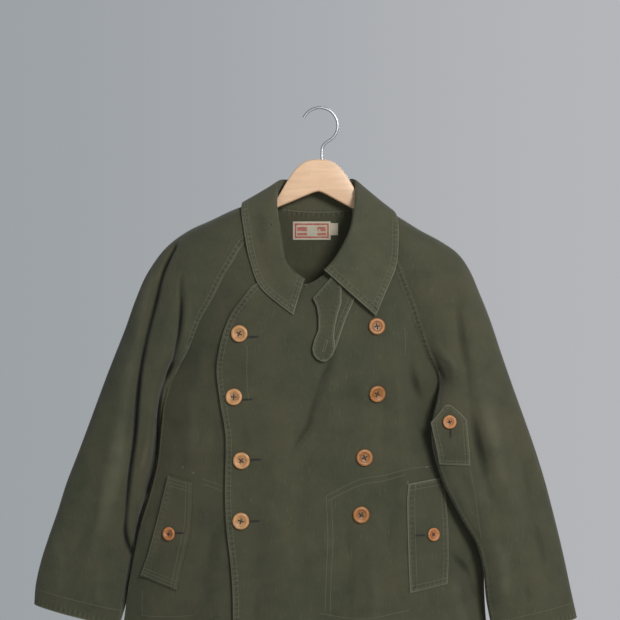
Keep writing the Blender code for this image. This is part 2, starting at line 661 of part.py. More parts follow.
def neckline():
    """Points round the neckline from the collar's end at the wearer's right, and beside each
    the direction out of the panel. Its own length, halved at the back, gives the station."""
    front_right, front_left = edge_lines(-1)
    back_right, back_left = edge_lines(1)
    of_first_row = NECK_STEP * RAGLAN_ROWS

    def front_part(ends, layer):
        span = front_left[0][0] - front_right[0][0]
        u = (np.linspace(*ends, NECK_POINTS) - front_right[0][0]) / span
        here = body_point(u, 0.0, front_right[0], front_left[0], -1)
        first = front_right[0] + (front_right[1] - front_right[0]) * of_first_row
        last = front_left[0] + (front_left[1] - front_left[0]) * of_first_row
        below = body_point(u, NECK_STEP, first, last, -1)
        out = unit(here - below)
        here[:, 1] -= layer * (1 - smoothstep(*UNDER_EDGE_FADE, here[:, 0]))
        return here, out

    def sleeve_part(table, shift, order):
        grid = sleeve_grid(table, shift, np.array([0.0, NECK_STEP]))
        return grid[0][::order], unit(grid[0] - grid[1])[::order]

    u = np.linspace(0.0, 1.0, NECK_POINTS)
    back_here = body_point(u, 0.0, back_right[0], back_left[0], 1)
    back_up = np.tile([0.0, 0.0, 1.0], (len(u), 1))
    right_half = front_part((COLLAR_ENDS[0], front_right[0][0]), 0.0)
    left_half = front_part((front_left[0][0], COLLAR_ENDS[1]), LAYER_LIFT)
    parts = [right_half, sleeve_part(RIGHT_SLEEVE, RIGHT_BACK_SHIFT, 1), (back_here, back_up),
             sleeve_part(LEFT_SLEEVE, LEFT_BACK_SHIFT, -1), left_half]
    points = np.concatenate([part[0] for part in parts])
    ups = np.concatenate([part[1] for part in parts])
    length = np.concatenate([[0.0], np.cumsum(np.linalg.norm(np.diff(points, axis=0), axis=1))])
    back_middle = sum(len(part[0]) for part in parts[:2]) + len(u) // 2
    middle = length[back_middle]
    station = np.where(length < middle, length / middle - 1.0,
                       (length - middle) / (length[-1] - middle))
    keep = np.concatenate([[True], np.diff(station) > 1e-6])
    return station[keep], points[keep], ups[keep]


def collar_grid(neck, tree):
    """The face of the collar that is turned to the garment, from the neckline up the stand,
    over the roll and down the fall."""
    station, points, ups = neck
    s = np.linspace(-1.0, 1.0, COLLAR_COLUMNS + 1)
    seam = np.column_stack([np.interp(s, station, points[:, k]) for k in range(3)])
    rise = unit(np.column_stack([np.interp(s, station, ups[:, k]) for k in range(3)]))
    seam = seam + rise * COLLAR_SEAM_RISE
    table = spline(COLLAR_STATIONS, s)
    roll = table[:, :3]
    edge = table[:, 3:]
    up = unit(roll - seam)
    down = unit(edge - roll)
    turn = np.arccos(np.clip(np.sum(up * down, axis=1), -1.0, 1.0))[:, None]
    out = unit(down - np.sum(up * down, axis=1)[:, None] * up)
    stand = np.linalg.norm(roll - seam, axis=1)[:, None]
    radius = np.minimum(ROLL_RADIUS, 0.35 * stand)
    centre = roll + radius * (out - up)
    bend = [centre + radius * (np.cos(math.pi - part * turn) * out
                               + np.sin(math.pi - part * turn) * up) for part in (0.0, 0.5, 1.0)]
    rows = [seam, 0.5 * seam + 0.5 * bend[0], *bend]
    rows += [bend[2] + (edge - bend[2]) * part for part in COLLAR_FALL]
    grid = np.array(rows)
    on_front = smoothstep(*COLLAR_FRONT, np.abs(s))
    over_tabs = COLLAR_OVER_TABS * smoothstep(0.55, 0.95, s)
    first_fall = len(grid) - len(COLLAR_FALL)
    for i in range(first_fall, len(grid)):
        part = COLLAR_FALL[i - first_fall]
        settled = smoothstep(0.0, COLLAR_SETTLES, part)
        for j in range(len(s)):
            x, y, z = grid[i, j]
            met = seat_y(tree, x, z)
            if met is not None and on_front[j] > 0 and abs(met - y) < NEARBY:
                seated = met - COLLAR_LIE - COLLAR_TENTING * (1 - part) - over_tabs[j]
                grid[i, j, 1] = y + (seated - y) * on_front[j] * settled
        eased = grid[i].copy()
        eased[1:-1] = 0.25 * grid[i, :-2] + 0.5 * grid[i, 1:-1] + 0.25 * grid[i, 2:]
        grid[i, :, 1] = eased[:, 1]
        for j in range(len(s)):
            grid[i, j] = kept_clear(grid[i, j], tree, COLLAR_LIE)
    for half in (s < -COLLAR_FRONT[0], s > COLLAR_FRONT[0]):
        fall = np.ix_(range(first_fall, len(grid)), np.flatnonzero(half))
        grid[fall] = brought_forward(grid[fall], tree, LIE_GAP)
    return grid


def kept_clear(point, tree, least):
    """The point, moved out along the nearest face's normal if it is nearer than least."""
    near, normal, _, _ = tree.find_nearest(Vector(point))
    away = Vector(point) - near
    side = away.dot(normal)
    if side < 0 or away.length < least:
        return np.array(near + normal * least)
    return point


# 1 where a panel's rows and columns turn its faces outward, -1 where they turn them inward
OUTWARD = {"front_right": 1.0, "front_left": 1.0, "back": -1.0,
           "sleeve_right": -1.0, "sleeve_left": 1.0}


def make_cloth(looks):
    """The panels of the body and the sleeves. Returns the outer grids and the back's inner."""
    canvas = looks["canvas"]
    sleeve_steps = np.concatenate([np.linspace(0.0, 1.0, RAGLAN_ROWS + 1),
                                   1.0 + np.linspace(0.0, 1.0, TUBE_ROWS + 1)[1:]])
    under, top = front_grids()
    back = back_grid()
    right = sleeve_grid(RIGHT_SLEEVE, RIGHT_BACK_SHIFT, sleeve_steps)
    left = sleeve_grid(LEFT_SLEEVE, LEFT_BACK_SHIFT, sleeve_steps)
    grids = {"front_right": under, "front_left": top, "back": back,
             "sleeve_right": right, "sleeve_left": left}
    normals = {name: grid_normals(grid, OUTWARD[name]) for name, grid in grids.items()}
    raglan = slice(0, RAGLAN_ROWS)
    below = slice(RAGLAN_ROWS, None)
    share(normals["front_right"], (raglan, 0), normals["sleeve_right"], (raglan, 0))
    share(normals["back"], (raglan, 0), normals["sleeve_right"], (raglan, -1))
    share(normals["front_left"], (raglan, -1), normals["sleeve_left"], (raglan, 0))
    share(normals["back"], (raglan, -1), normals["sleeve_left"], (raglan, -1))
    share(normals["front_right"], (below, 0), normals["back"], (below, 0))
    share(normals["front_left"], (below, -1), normals["back"], (below, -1))
    for name in ("sleeve_right", "sleeve_left"):
        share(normals[name], (below, 0), normals[name], (below, -1))
    for name, grid in grids.items():
        grids[name] = narrowed(grid)
        wall(name, grids[name], normals[name], CANVAS_WALL, canvas)
    return grids, grids["back"] - normals["back"] * CANVAS_WALL


def make_collar(grids, looks):
    tree = surface([(grids[name], OUTWARD[name]) for name in OUTWARD])
    inner = collar_grid(neckline(), tree)
    normals = grid_normals(inner, -1.0)
    wall("collar", inner + normals * CANVAS_WALL, normals, CANVAS_WALL, looks["canvas"])


def make_tabs_and_flaps(grids, looks):
    """Everything sewn flat on the panels. Returns a tree for each that carries a button."""
    canvas = looks["canvas"]
    fronts = surface([(grids["front_right"], 1.0), (grids["front_left"], 1.0)])
    sleeve = surface([(grids["sleeve_left"], 1.0)])
    lying_piece("throat_tab_underlay", fronts, strip(UNDERLAY_EDGES, 6, 2), TAB_WALL, canvas)
    over_underlay = LIE_GAP + TAB_WALL + LIE_GAP
    lying_piece("throat_tab", fronts, strip(THROAT_TAB_EDGES, 12, 2), TAB_WALL, canvas,
                rise=over_underlay)
    carriers = {"fronts": fronts}
    for name, edges in (("pocket_flap_right", RIGHT_FLAP_EDGES),
                        ("pocket_flap_left", LEFT_FLAP_EDGES)):
        outer = lying_piece(name, fronts, strip(edges, 9, 3), TAB_WALL, canvas)
        carriers[name] = surface([(outer, 1.0)])
    outer = lying_piece("sleeve_tab", sleeve, strip(SLEEVE_TAB_EDGES, 7, 3), TAB_WALL, canvas,
                        reach=SLEEVE_TAB_REACH)
    carriers["sleeve_tab"] = surface([(outer, 1.0)])
    return carriers


def make_buttons(carriers, looks):
    def button(name, place, carrier, diameter):
        x, z = place
        hit = carriers[carrier].ray_cast(Vector((x, -400.0, z)), Vector((0.0, 1.0, 0.0)))
        seat, normal = hit[0], hit[1]
        highest = 0.0
        for angle in np.linspace(0.0, 2 * math.pi, 12, endpoint=False):
            for part in (0.5, 1.0):
                reach = part * diameter / 2
                rim = Vector((x + reach * math.cos(angle), -400.0, z + reach * math.sin(angle)))
                met = carriers[carrier].ray_cast(rim, Vector((0.0, 1.0, 0.0)))[0]
                if met:
                    highest = max(highest, (met - seat).dot(normal))
        turned(name, BUTTON_PROFILE, diameter / 2, BUTTON_THICKNESS, BUTTON_SEGMENTS,
               seat + normal * (highest + SEAM_GAP), normal, looks["button"])

    for column, places in LARGE_BUTTONS.items():
        for number, place in enumerate(places, start=1):
            button(f"{column}_{number}", place, "fronts", LARGE_BUTTON)
    for name, (place, carrier) in SMALL_BUTTONS.items():
        button(name, place, carrier, SMALL_BUTTON)


def make_labels(back_inner, looks):
    """The neck label and the size tab beside it, sewn inside the back."""
    tree = surface([(back_inner, 1.0)])
    for name, (x0, x1, top, bottom), look in (("neck_label", NECK_LABEL, looks["label"]),
                                              ("size_tab", SIZE_TAB, looks["size_tab"])):
        columns = np.linspace(x0, x1, 4)
        rows = np.linspace(top, bottom, 3)
        grid = np.array([[(x, seat_y(tree, x, z, 0.0), z) for x in columns] for z in rows])
        normals = grid_normals(grid, 1.0)
        outer = grid + normals * (LIE_GAP + LABEL_WALL)
        wall(name, outer, normals, LABEL_WALL, look)


def ridge(table):
    """Top line of a shoulder from the sleeve's table: x away from the middle, and z."""
    keyed = np.column_stack([np.linspace(0.0, 2.0, len(table)), np.asarray(table)])
    sections = spline(keyed, np.linspace(0.0, 1.0, RAGLAN_ROWS + 1))
    return sections[:, 2], sections[:, 3]


def make_hanger(looks):
    """The wooden body, as rounded sections from the tip of one arm to the other, and the wire
    hook in its bore."""
    half = WOOD_THICKNESS / 2
    drop = CANVAS_WALL + ARM_CLEARANCE
    head_reach = HANGER_HEAD[-1][0]
    stations = np.concatenate([np.linspace(0.0, head_reach, 15),
                               np.linspace(head_reach + 2.0, ARM_END, 12),
                               ARM_END + ARM_TIP * np.array([0.5, 0.8, 1.0])])
    sections = []
    for sign, table in ((-1.0, RIGHT_SLEEVE), (1.0, LEFT_SLEEVE)):
        line_x, line_z = ridge(table)
        order = np.argsort(line_x)
        arm = []
        for reach in stations:
            x = HANGER_MIDDLE_X + sign * reach
            shoulder = float(np.interp(x, line_x[order], line_z[order]))
            slope = (float(np.interp(x + 1.0, line_x[order], line_z[order]))
                     - float(np.interp(x - 1.0, line_x[order], line_z[order]))) / 2
            under_cloth = shoulder - drop * math.sqrt(1 + slope * slope)
            head = float(spline(HANGER_HEAD, reach)[0][0])
            blend = smoothstep(head_reach - 5.0, head_reach + 2.0, reach)
            top = head + (under_cloth - head) * blend
            along = reach / ARM_END
            height = ARM_HEIGHT_NEAR + (ARM_HEIGHT_END - ARM_HEIGHT_NEAR) * along
            arm_under = top - height
            end_x = HANGER_MIDDLE_X + sign * ARM_END
            end_z = (float(np.interp(end_x, line_x[order], line_z[order])) - drop
                     - ARM_HEIGHT_END)
            straight = HANGER_APEX_Z + (end_z - HANGER_APEX_Z) * along
            bottom = straight - APEX_ROUND[0] * math.exp(-(reach / APEX_ROUND[1]) ** 2)
            past = max(reach - ARM_END, 0.0) / ARM_TIP
            if past > 0:
                middle = (top + arm_under) / 2
                shrink = math.sqrt(max(1 - past * past, 0.08))
                top = middle + (top - middle) * shrink
                bottom = middle + (arm_under - middle) * shrink
            cut = min(WOOD_CHAMFER, (top - bottom) / 3)
            arm.append([(x, y, z) for y, z in (
                (-half + cut, top), (half - cut, top), (half, top - cut), (half, bottom + cut),
                (half - cut, bottom), (-half + cut, bottom), (-half, bottom + cut),
                (-half, top - cut))])
        sections.append(arm)
    rings = sections[0][:0:-1] + sections[1]
    points = [p for ring in rings for p in ring]
    faces = [tuple(range(8)), tuple(range(len(points) - 1, len(points) - 9, -1))]
    for i in range(len(rings) - 1):
        for k in range(8):
            a, b = i * 8 + k, i * 8 + (k + 1) % 8
            faces.append((a, a + 8, b + 8, b))
    wood = solid("hanger_wood", points, faces, looks["wood"], sharp=55.0)
    bore_top = HANGER_HEAD[0][1] + 3.0
    cutter = turned("stem_bore", ((0.0, 0.0), (1.0, 0.0), (1.0, 1.0), (0.0, 1.0)),
                    STEM_BORE / 2, STEM_DEPTH + 3.0, 16,
                    (STEM_X, 0.0, bore_top - STEM_DEPTH - 3.0), (0.0, 0.0, 1.0), looks["wood"])
    cutter.hide_render = True
    cutter.display_type = "WIRE"
    cut = wood.modifiers.new("Stem bore", "BOOLEAN")
    cut.operation = "DIFFERENCE"
    cut.solver = "EXACT"
    cut.object = cutter
    make_hook(looks)


def make_hook(looks):
    """A wire hook: round loop, a bend back to the middle, and the stem in the wood."""
    radius = WIRE_DIAMETER / 2
    centre_z = radius - HOOK_RADIUS
    stem_bottom = HANGER_HEAD[0][1] - STEM_DEPTH + SEAM_GAP + 1.0
    angles = np.radians(np.linspace(*HOOK_LOOP, 22))
    loop = np.column_stack([HOOK_RADIUS * np.cos(angles), centre_z + HOOK_RADIUS * np.sin(angles)])
    route = np.concatenate([loop, HOOK_BEND, [(STEM_X, stem_bottom)]])
    length = np.concatenate([[0.0], np.cumsum(np.linalg.norm(np.diff(route, axis=0), axis=1))])
    keyed = np.column_stack([length, route])
    smooth = spline(keyed, np.linspace(0.0, length[-1], 42))
    curve = bpy.data.curves.new("hanger_hook", "CURVE")
    curve.dimensions = "3D"
    curve.bevel_depth = radius * MM
    curve.bevel_resolution = 2
    curve.use_fill_caps = True
    wire = curve.splines.new("POLY")
    wire.points.add(len(smooth) - 1)
    for point, (x, z) in zip(wire.points, smooth):
        point.co = (x * MM, 0.0, z * MM, 1.0)
    wire.use_smooth = True
    curve.materials.append(looks["steel"])
    hook = bpy.data.objects.new("hanger_hook", curve)
    bpy.context.scene.collection.objects.link(hook)


def main():
    clear_scene()
    looks = {
        "canvas": material("canvas", (0.072, 0.075, 0.046), 0.92),
        "button": material("corozo", (0.62, 0.30, 0.13), 0.45),
        "wood": material("hanger_wood", (0.84, 0.61, 0.41), 0.5),
        "steel": material("hook_steel", (0.62, 0.62, 0.63), 0.3, 1.0),
        "label": material("label", (0.60, 0.36, 0.26), 0.8),
        "size_tab": material("size_tab", (0.72, 0.68, 0.60), 0.8),
    }
    grids, back_inner = make_cloth(looks)
    carriers = make_tabs_and_flaps(grids, looks)
    make_collar(grids, looks)
    make_buttons(carriers, looks)
    make_labels(back_inner, looks)
    make_hanger(looks)


main()
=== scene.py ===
"""Looks of a double-breasted canvas work jacket that hangs on a wooden hanger.

Tables are in millimetres: x to the viewer's right, y away from the viewer, z up, with the
origin at the inside top of the hanger's hook. "Left" and "right" in a name are the wearer's.
The cloth follows the solids' own surfaces, read more finely, with its creases laid on top.
"""
import functools
import math
from collections import namedtuple

import bpy
import numpy as np
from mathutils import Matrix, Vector
from mathutils.bvhtree import BVHTree


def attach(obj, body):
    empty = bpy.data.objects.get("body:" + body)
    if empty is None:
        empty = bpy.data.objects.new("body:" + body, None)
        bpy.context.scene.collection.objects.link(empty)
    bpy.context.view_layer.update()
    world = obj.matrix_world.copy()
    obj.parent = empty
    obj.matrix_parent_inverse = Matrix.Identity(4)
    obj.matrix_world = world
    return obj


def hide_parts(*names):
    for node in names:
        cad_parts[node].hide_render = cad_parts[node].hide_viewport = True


bl_info = {
    "name": "Hanging canvas jacket",
    "version": (1, 0, 0),
    "blender": (4, 5, 0),
    "location": "3D View > Sidebar > Jacket",
    "description": "Builds a worn canvas work jacket on its hanger, with its stage",
    "category": "Object",
}

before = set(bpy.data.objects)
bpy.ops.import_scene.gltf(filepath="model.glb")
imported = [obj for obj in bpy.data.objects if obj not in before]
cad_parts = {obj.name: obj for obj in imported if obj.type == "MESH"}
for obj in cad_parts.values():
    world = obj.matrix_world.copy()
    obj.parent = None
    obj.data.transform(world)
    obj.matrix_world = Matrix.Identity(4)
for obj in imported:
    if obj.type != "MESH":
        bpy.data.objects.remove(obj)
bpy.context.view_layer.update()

MM = 0.001

# Cloth
CANVAS_WALL = 2.0
TAB_WALL = 2.2
SEAM_GAP = 0.3
LAYER_LIFT = 3.0          # outer face of the top front above that of the front under it
LIE_GAP = 0.6             # between a piece and the panel it lies on
LIE_SHARE = 0.75          # the part of that gap kept everywhere
IN_FRONT = -400.0         # y from which surfaces are looked for, going back
BACKWARD = Vector((0.0, 1.0, 0.0))
NEARBY = 26.0             # a panel further behind a piece than this isn't the one it lies on

# Grid resolution
RAGLAN_ROWS = 8           # from the neckline to the armpit
SIDE_ROWS = 11            # from the armpit to the hem
TUBE_ROWS = 10            # from the armpit to the cuff
SLEEVE_AROUND = 22
BACK_COLUMNS = 14
UNDER_ONLY_COLUMNS = 5
OVERLAP_COLUMNS = 10
TOP_ONLY_COLUMNS = 6

# Body
HEM_Z = -905.0
HEM_DROP = 8.0
NECK_DIP = 90.0           # front neckline below the ends of the raglan seams
BACK_NECK_DIP = 4.0
NECK_LOW_POINT = 0.40     # where across the front the neckline is lowest
LEFT_ARMPIT_Z = -409.5
RIGHT_ARMPIT_Z = -396.0

# Hook and hanger
WIRE_DIAMETER = 4.0
HOOK_RADIUS = 27.0
WOOD_THICKNESS = 12.0
ARM_CLEARANCE = 1.2

# Buttons
LARGE_BUTTON = 25.0
SMALL_BUTTON = 20.0
BUTTON_THICKNESS = 4.4

# Sleeves, one row for each section: neckline first, armpit ninth, cuff last. Columns: x and z
# of the front raglan seam, or below the armpit of the inner edge; x and z of the outer edge;
# y of those two; how far the front and the back stand out; the angle left open to the body.
RIGHT_SLEEVE = (
    (-84, -175.5, -75, -144, 0, 0, 24, 20, 62), (-100.5, -192, -118.5, -148.5, 0, 0, 30, 22, 62),
    (-118.5, -210, -165, -169, 0, 0, 36, 23, 62), (-133.5, -235.5, -201, -186, 0, 0, 40, 24, 60),
    (-145.5, -255, -234, -211.5, 0, 0, 43, 24, 56), (-162, -288, -261, -249, -1, 0, 45, 24, 50),
    (-180, -319.5, -279, -289.5, -2, 0, 45, 24, 42), (-196, -357, -294, -331.5, -3, 0, 44, 24, 28),
    (-216, RIGHT_ARMPIT_Z, -307.5, -366, -4, 0, 42, 24, 0), (-233, -428, -324, -408, -3, 0, 38, 24, 0),
    (-237.6, -480, -343, -460, -2, -2, 34, 22, 0), (-242.4, -530, -363, -514, -2, -3, 31, 20, 0),
    (-253.4, -578, -383, -566, -2, -4, 29, 19, 0), (-266.8, -622, -399, -617, -2, -5, 28, 18, 0),
    (-277.9, -670, -416, -666, -2, -5, 26, 17, 0), (-288.2, -724, -428, -711, -2, -5, 25, 16, 0),
    (-304, -782, -432, -749, -4, -5, 25, 16, 0),
)
LEFT_SLEEVE = (
    (81, -175.5, 72, -144, 0, 0, 24, 20, 62), (91.5, -196.5, 108, -157.5, 0, 0, 30, 22, 62),
    (102, -219, 150, -183, 0, 0, 36, 23, 62), (114, -247.5, 181.5, -200, 0, 0, 40, 24, 60),
    (123, -271.5, 208.5, -219, 0, 0, 43, 24, 56), (136, -304.5, 226.5, -244.5, -1, 0, 45, 24, 50),
    (147, -337.5, 241.5, -279, -3, 0, 45, 24, 42), (160, -372, 256.5, -316.5, -6, 0, 44, 24, 28),
    (180, LEFT_ARMPIT_Z, 273, -366, -12, 0, 42, 22, 0), (175, -445, 289, -412, -36, 0, 34, 18, 0),
    (167, -487, 306, -460, -42, -2, 30, 22, 0), (175, -534, 323, -508, -42, -4, 27, 24, 0),
    (193, -580, 340, -563, -38, -6, 26, 22, 0), (220, -630, 354, -618, -30, -8, 26, 20, 0),
    (243, -672, 367, -672, -24, -10, 26, 18, 0), (248.5, -728, 377, -720, -22, -11, 25, 17, 0),
    (262, -797, 387.5, -768, -22, -12, 25, 17, 0),
)
# How far the back raglan seam lies from the front one at the neckline
RIGHT_BACK_SHIFT = (28.0, 24.5)
LEFT_BACK_SHIFT = (-27.0, 24.5)

# Side seams below the armpits: height, x and y of each
RIGHT_SIDE = (
    (RIGHT_ARMPIT_Z, -216, -4), (-432, -231.5, -9), (-480, -238.6, -14), (-530, -243.5, -14),
    (-578, -254.7, -14), (-622, -268.2, -14), (-670, -279.2, -13), (-724, -289, -11),
    (-780, -296.5, -9), (HEM_Z, -314, -8),
)
LEFT_SIDE = (
    (LEFT_ARMPIT_Z, 180, -12), (-432, 181.5, 0), (-455, 187, 7), (-514, 213, 8), (-600, 234, 8),
    (-672, 247.5, 8), (-754, 250, 7), (-830, 259, 5), (HEM_Z, 270, 3),
)
# Depth of the body at its middle: row (0 neckline, 1 armpit, 2 hem), front y and back y
BODY_DEPTH = (
    (0, -38, 20), (0.5, -54, 24), (1, -62, 26), (1.4, -66, 26), (1.7, -66, 26), (2, -62, 25),
)
FULLNESS = 3.0            # how flat the body's middle is across: 1 is a tent, 3 is nearly flat
BACK_WAVE = 4.5           # the back's hanging waves at the hem: height, spacing and slant
BACK_WAVE_SPACING = 118.0
BACK_WAVE_SLANT = 0.0012
# Free edge of the top front: height and x
TOP_FREE_EDGE = (
    (-243, -50), (-262, -92), (-277, -106.5), (-300, -125), (-319.5, -136.5), (-343.5, -144.5),
    (-366, -150), (-391.5, -153), (-439.5, -148), (-488, -140), (-571.5, -140.5), (-616, -139),
    (-705, -130), (-770, -128.5), (HEM_Z - 20, -126),
)
# Free edge of the front under it, hidden: height and x
UNDER_FREE_EDGE = (
    (-175, 58), (-230, 76), (-300, 100), (-400, 112), (HEM_Z, 106),
)
# Largest folds on the front side: start, middle and end (x, z), height and half width.
# A negative height is a trough.
FRONT_FOLDS = (
    ((-222, -218), (-252, -305), (-272, -425), -6, 15),
    ((-272, -425), (-280, -520), (-292, -640), -6, 15),
    ((15, -382), (-11, -454), (-30, -496), -3.5, 14), ((97, -357), (106, -450), (110, -545), 4, 18),
    ((62, -470), (70, -560), (64, -680), -3, 18), ((-60, -560), (-52, -700), (-66, -860), 3.5, 24),
    ((20, -640), (26, -760), (18, -890), -4, 24), ((150, -620), (162, -740), (158, -890), 3.5, 22),
    ((236, -300), (252, -370), (262, -450), -4, 15), ((292, -520), (310, -610), (318, -700), -4, 15),
    ((-196, -640), (-204, -760), (-210, -890), -4, 22),
)


def spline(table, at):
    """Values of a table at the keys in its first column, on a smooth curve through its rows."""
    table = np.asarray(table, float)
    keys = table[:, 0]
    values = table[:, 1:]
    order = np.argsort(keys)
    keys = keys[order]
    values = values[order]
    slopes = np.gradient(values, keys, axis=0)
    at = np.clip(np.atleast_1d(np.asarray(at, float)), keys[0], keys[-1])
    cell = np.clip(np.searchsorted(keys, at, side="right") - 1, 0, len(keys) - 2)
    span = (keys[cell + 1] - keys[cell])[:, None]
    s = ((at - keys[cell])[:, None]) / span
    return ((1 + 2 * s) * (1 - s) ** 2 * values[cell] + s * (1 - s) ** 2 * span * slopes[cell]
            + s * s * (3 - 2 * s) * values[cell + 1] + s * s * (s - 1) * span * slopes[cell + 1])


def smoothstep(low, high, value):
    s = np.clip((value - low) / (high - low), 0.0, 1.0)
    return s * s * (3 - 2 * s)


def path_length(path):
    """Length of a path up to each of its points."""
    return np.concatenate([[0.0], np.cumsum(np.linalg.norm(np.diff(path, axis=0), axis=1))])


def read_at(at, run, values):
    """Rows of values at these lengths of a run."""
    return np.column_stack([np.interp(at, run, values[:, k]) for k in range(values.shape[1])])


def unit(vectors):
    length = np.linalg.norm(vectors, axis=-1, keepdims=True)
    return vectors / np.maximum(length, 1e-9)


def fold_height(x, z, folds):
    """Height of the folds over a point: each is a soft ridge or trough along a bent line."""
    total = np.zeros(np.shape(x))
    point = np.stack([x, z], axis=-1)
    for start, middle, end, height, half_width in folds:
        nearest = np.full(np.shape(x), np.inf)
        place = np.zeros(np.shape(x))
        for part, (a, b) in enumerate(((start, middle), (middle, end))):
            a = np.asarray(a)
            run = np.asarray(b) - a
            s = np.clip(((point - a) @ run) / (run @ run), 0.0, 1.0)
            distance = np.linalg.norm(point - a - s[..., None] * run, axis=-1)
            closer = distance < nearest
            nearest = np.where(closer, distance, nearest)
            place = np.where(closer, (part + s) / 2, place)
        fade = np.sin(math.pi * (0.12 + 0.76 * place))
        total = total + height * fade * np.exp(-(nearest / half_width) ** 2)
    return total


def sleeve_grid(table, back_shift, rows, around=SLEEVE_AROUND):
    """Outer points of a raglan sleeve. Each row runs from the front seam (below the armpit,
    the inner edge) over the front, round the outer edge and along the back."""
    keyed = np.column_stack([np.linspace(0.0, 2.0, len(table)), np.asarray(table)])
    sections = spline(keyed, rows)
    half = around // 2
    step = np.arange(around + 1)
    on_front = step <= half
    grid = np.zeros((len(rows), around + 1, 3))
    for i, row in enumerate(rows):
        (front_x, front_z, outer_x, outer_z,
         inner_y, outer_y, front_depth, back_depth, opening) = sections[i]
        start = math.radians(max(opening, 0.0)) if row < 1.0 else 0.0
        shift = np.asarray(back_shift) * max(1.0 - row, 0.0)
        swept = np.where(on_front, step / half, (around - step) / half)
        angle = start + (math.pi - start) * swept
        first = (1 - math.cos(start)) / 2
        s = ((1 - np.cos(angle)) / 2 - first) / (1 - first)
        from_x = front_x + np.where(on_front, 0.0, shift[0])
        from_z = front_z + np.where(on_front, 0.0, shift[1])
        grid[i, :, 0] = from_x + (outer_x - from_x) * s
        grid[i, :, 2] = from_z + (outer_z - from_z) * s
        bulge = np.where(on_front, -front_depth, back_depth) * np.sin(angle)
        fade = np.where(on_front, np.sin(angle), 0.0) ** 0.7
        folds = fade * fold_height(grid[i, :, 0], grid[i, :, 2], FRONT_FOLDS)
        grid[i, :, 1] = inner_y + (outer_y - inner_y) * s + bulge - folds
    return grid


def edge_lines(side):
    """Edges of the front (side -1) or back (side 1), the one at -x first: rows of x, y, z."""
    column = 0 if side < 0 else -1
    raglan = np.linspace(0.0, 1.0, RAGLAN_ROWS + 1)
    seam_right = sleeve_grid(RIGHT_SLEEVE, RIGHT_BACK_SHIFT, raglan)[:, column]
    seam_left = sleeve_grid(LEFT_SLEEVE, LEFT_BACK_SHIFT, raglan)[:, column]
    down = np.linspace(0.0, 1.0, SIDE_ROWS + 1)[1:]
    lines = []
    for seam, table, armpit in ((seam_right, RIGHT_SIDE, RIGHT_ARMPIT_Z),
                                (seam_left, LEFT_SIDE, LEFT_ARMPIT_Z)):
        z = armpit + (HEM_Z - armpit) * down
        x, y = spline(table, z).T
        lines.append(np.concatenate([seam, np.column_stack([x, y, z])]))
    return lines


def body_rows():
    return np.concatenate([np.linspace(0.0, 1.0, RAGLAN_ROWS + 1),
                           1.0 + np.linspace(0.0, 1.0, SIDE_ROWS + 1)[1:]])


def neck_profile(u):
    """1 at the lowest point of the front neckline and 0 at its ends."""
    left = np.clip((NECK_LOW_POINT - u) / NECK_LOW_POINT, 0.0, 1.0)
    right = np.clip((u - NECK_LOW_POINT) / (1 - NECK_LOW_POINT), 0.0, 1.0)
    return np.where(u < NECK_LOW_POINT, 1 - left ** 2.2, 1 - right ** 1.3)


def body_point(u, row, first, last, side):
    """Points of the front (side -1) or back (side 1) at u across, between a row's two ends."""
    u = np.asarray(u, float)
    w = 2 * u - 1
    x = first[0] + (last[0] - first[0]) * u
    chord_y = first[1] + (last[1] - first[1]) * u
    chord_z = first[2] + (last[2] - first[2]) * u
    rise = max(1.0 - row, 0.0)
    if side < 0:
        dip = NECK_DIP * rise * neck_profile(u)
    else:
        dip = BACK_NECK_DIP * rise * (1 - w * w)
    drop = HEM_DROP * smoothstep(1.5, 2.0, row) * (1 - w * w)
    middle = spline(BODY_DEPTH, row)[0][0 if side < 0 else 1]
    full = 1 - np.abs(w) ** FULLNESS
    y = chord_y + (middle - (first[1] + last[1]) / 2) * full
    z = chord_z - dip - drop
    if side < 0:
        fade = 1.0 if row < 0.8 else full ** (0.7 * smoothstep(0.8, 1.0, row))
        y = y - fade * fold_height(x, z, FRONT_FOLDS)
    else:
        wave = BACK_WAVE * smoothstep(1.1, 2.0, row) * full
        y = y + wave * np.sin(math.tau * (x / BACK_WAVE_SPACING + BACK_WAVE_SLANT * z))
    return np.stack([x, y, z], axis=-1)


def free_edge_u(row, first, last):
    """Where across a row the top front's free edge crosses it."""
    low, high = 0.0, 0.62
    for _ in range(40):
        u = (low + high) / 2
        x, _, z = body_point(u, row, first, last, -1)
        if x < spline(TOP_FREE_EDGE, z)[0][0]:
            low = u
        else:
            high = u
    return (low + high) / 2


def under_edge_u(first, last):
    x = spline(UNDER_FREE_EDGE, (first[2] + last[2]) / 2)[0][0]
    return (x - first[0]) / (last[0] - first[0])


def front_grids():
    """The front under and the front on top. Both are read at the same places where they
    overlap, so the layers stay parallel."""
    first_edge, last_edge = edge_lines(-1)
    under = []
    top = []
    first_top = UNDER_ONLY_COLUMNS
    last_under = UNDER_ONLY_COLUMNS + OVERLAP_COLUMNS
    columns = last_under + TOP_ONLY_COLUMNS
    lift = LAYER_LIFT * (1 - smoothstep(0.0, 2.5, np.arange(columns + 1) - last_under))
    for row, first, last in zip(body_rows(), first_edge, last_edge):
        edge = free_edge_u(row, first, last)
        hidden = under_edge_u(first, last)
        u = np.concatenate([np.linspace(0.0, edge, UNDER_ONLY_COLUMNS + 1)[:-1],
                            np.linspace(edge, hidden, OVERLAP_COLUMNS + 1)[:-1],
                            np.linspace(hidden, 1.0, TOP_ONLY_COLUMNS + 1)])
        points = body_point(u, row, first, last, -1)
        raised = points.copy()
        raised[:, 1] -= lift
        under.append(points[:last_under + 1])
        top.append(raised[first_top:])
    return np.array(under), np.array(top)


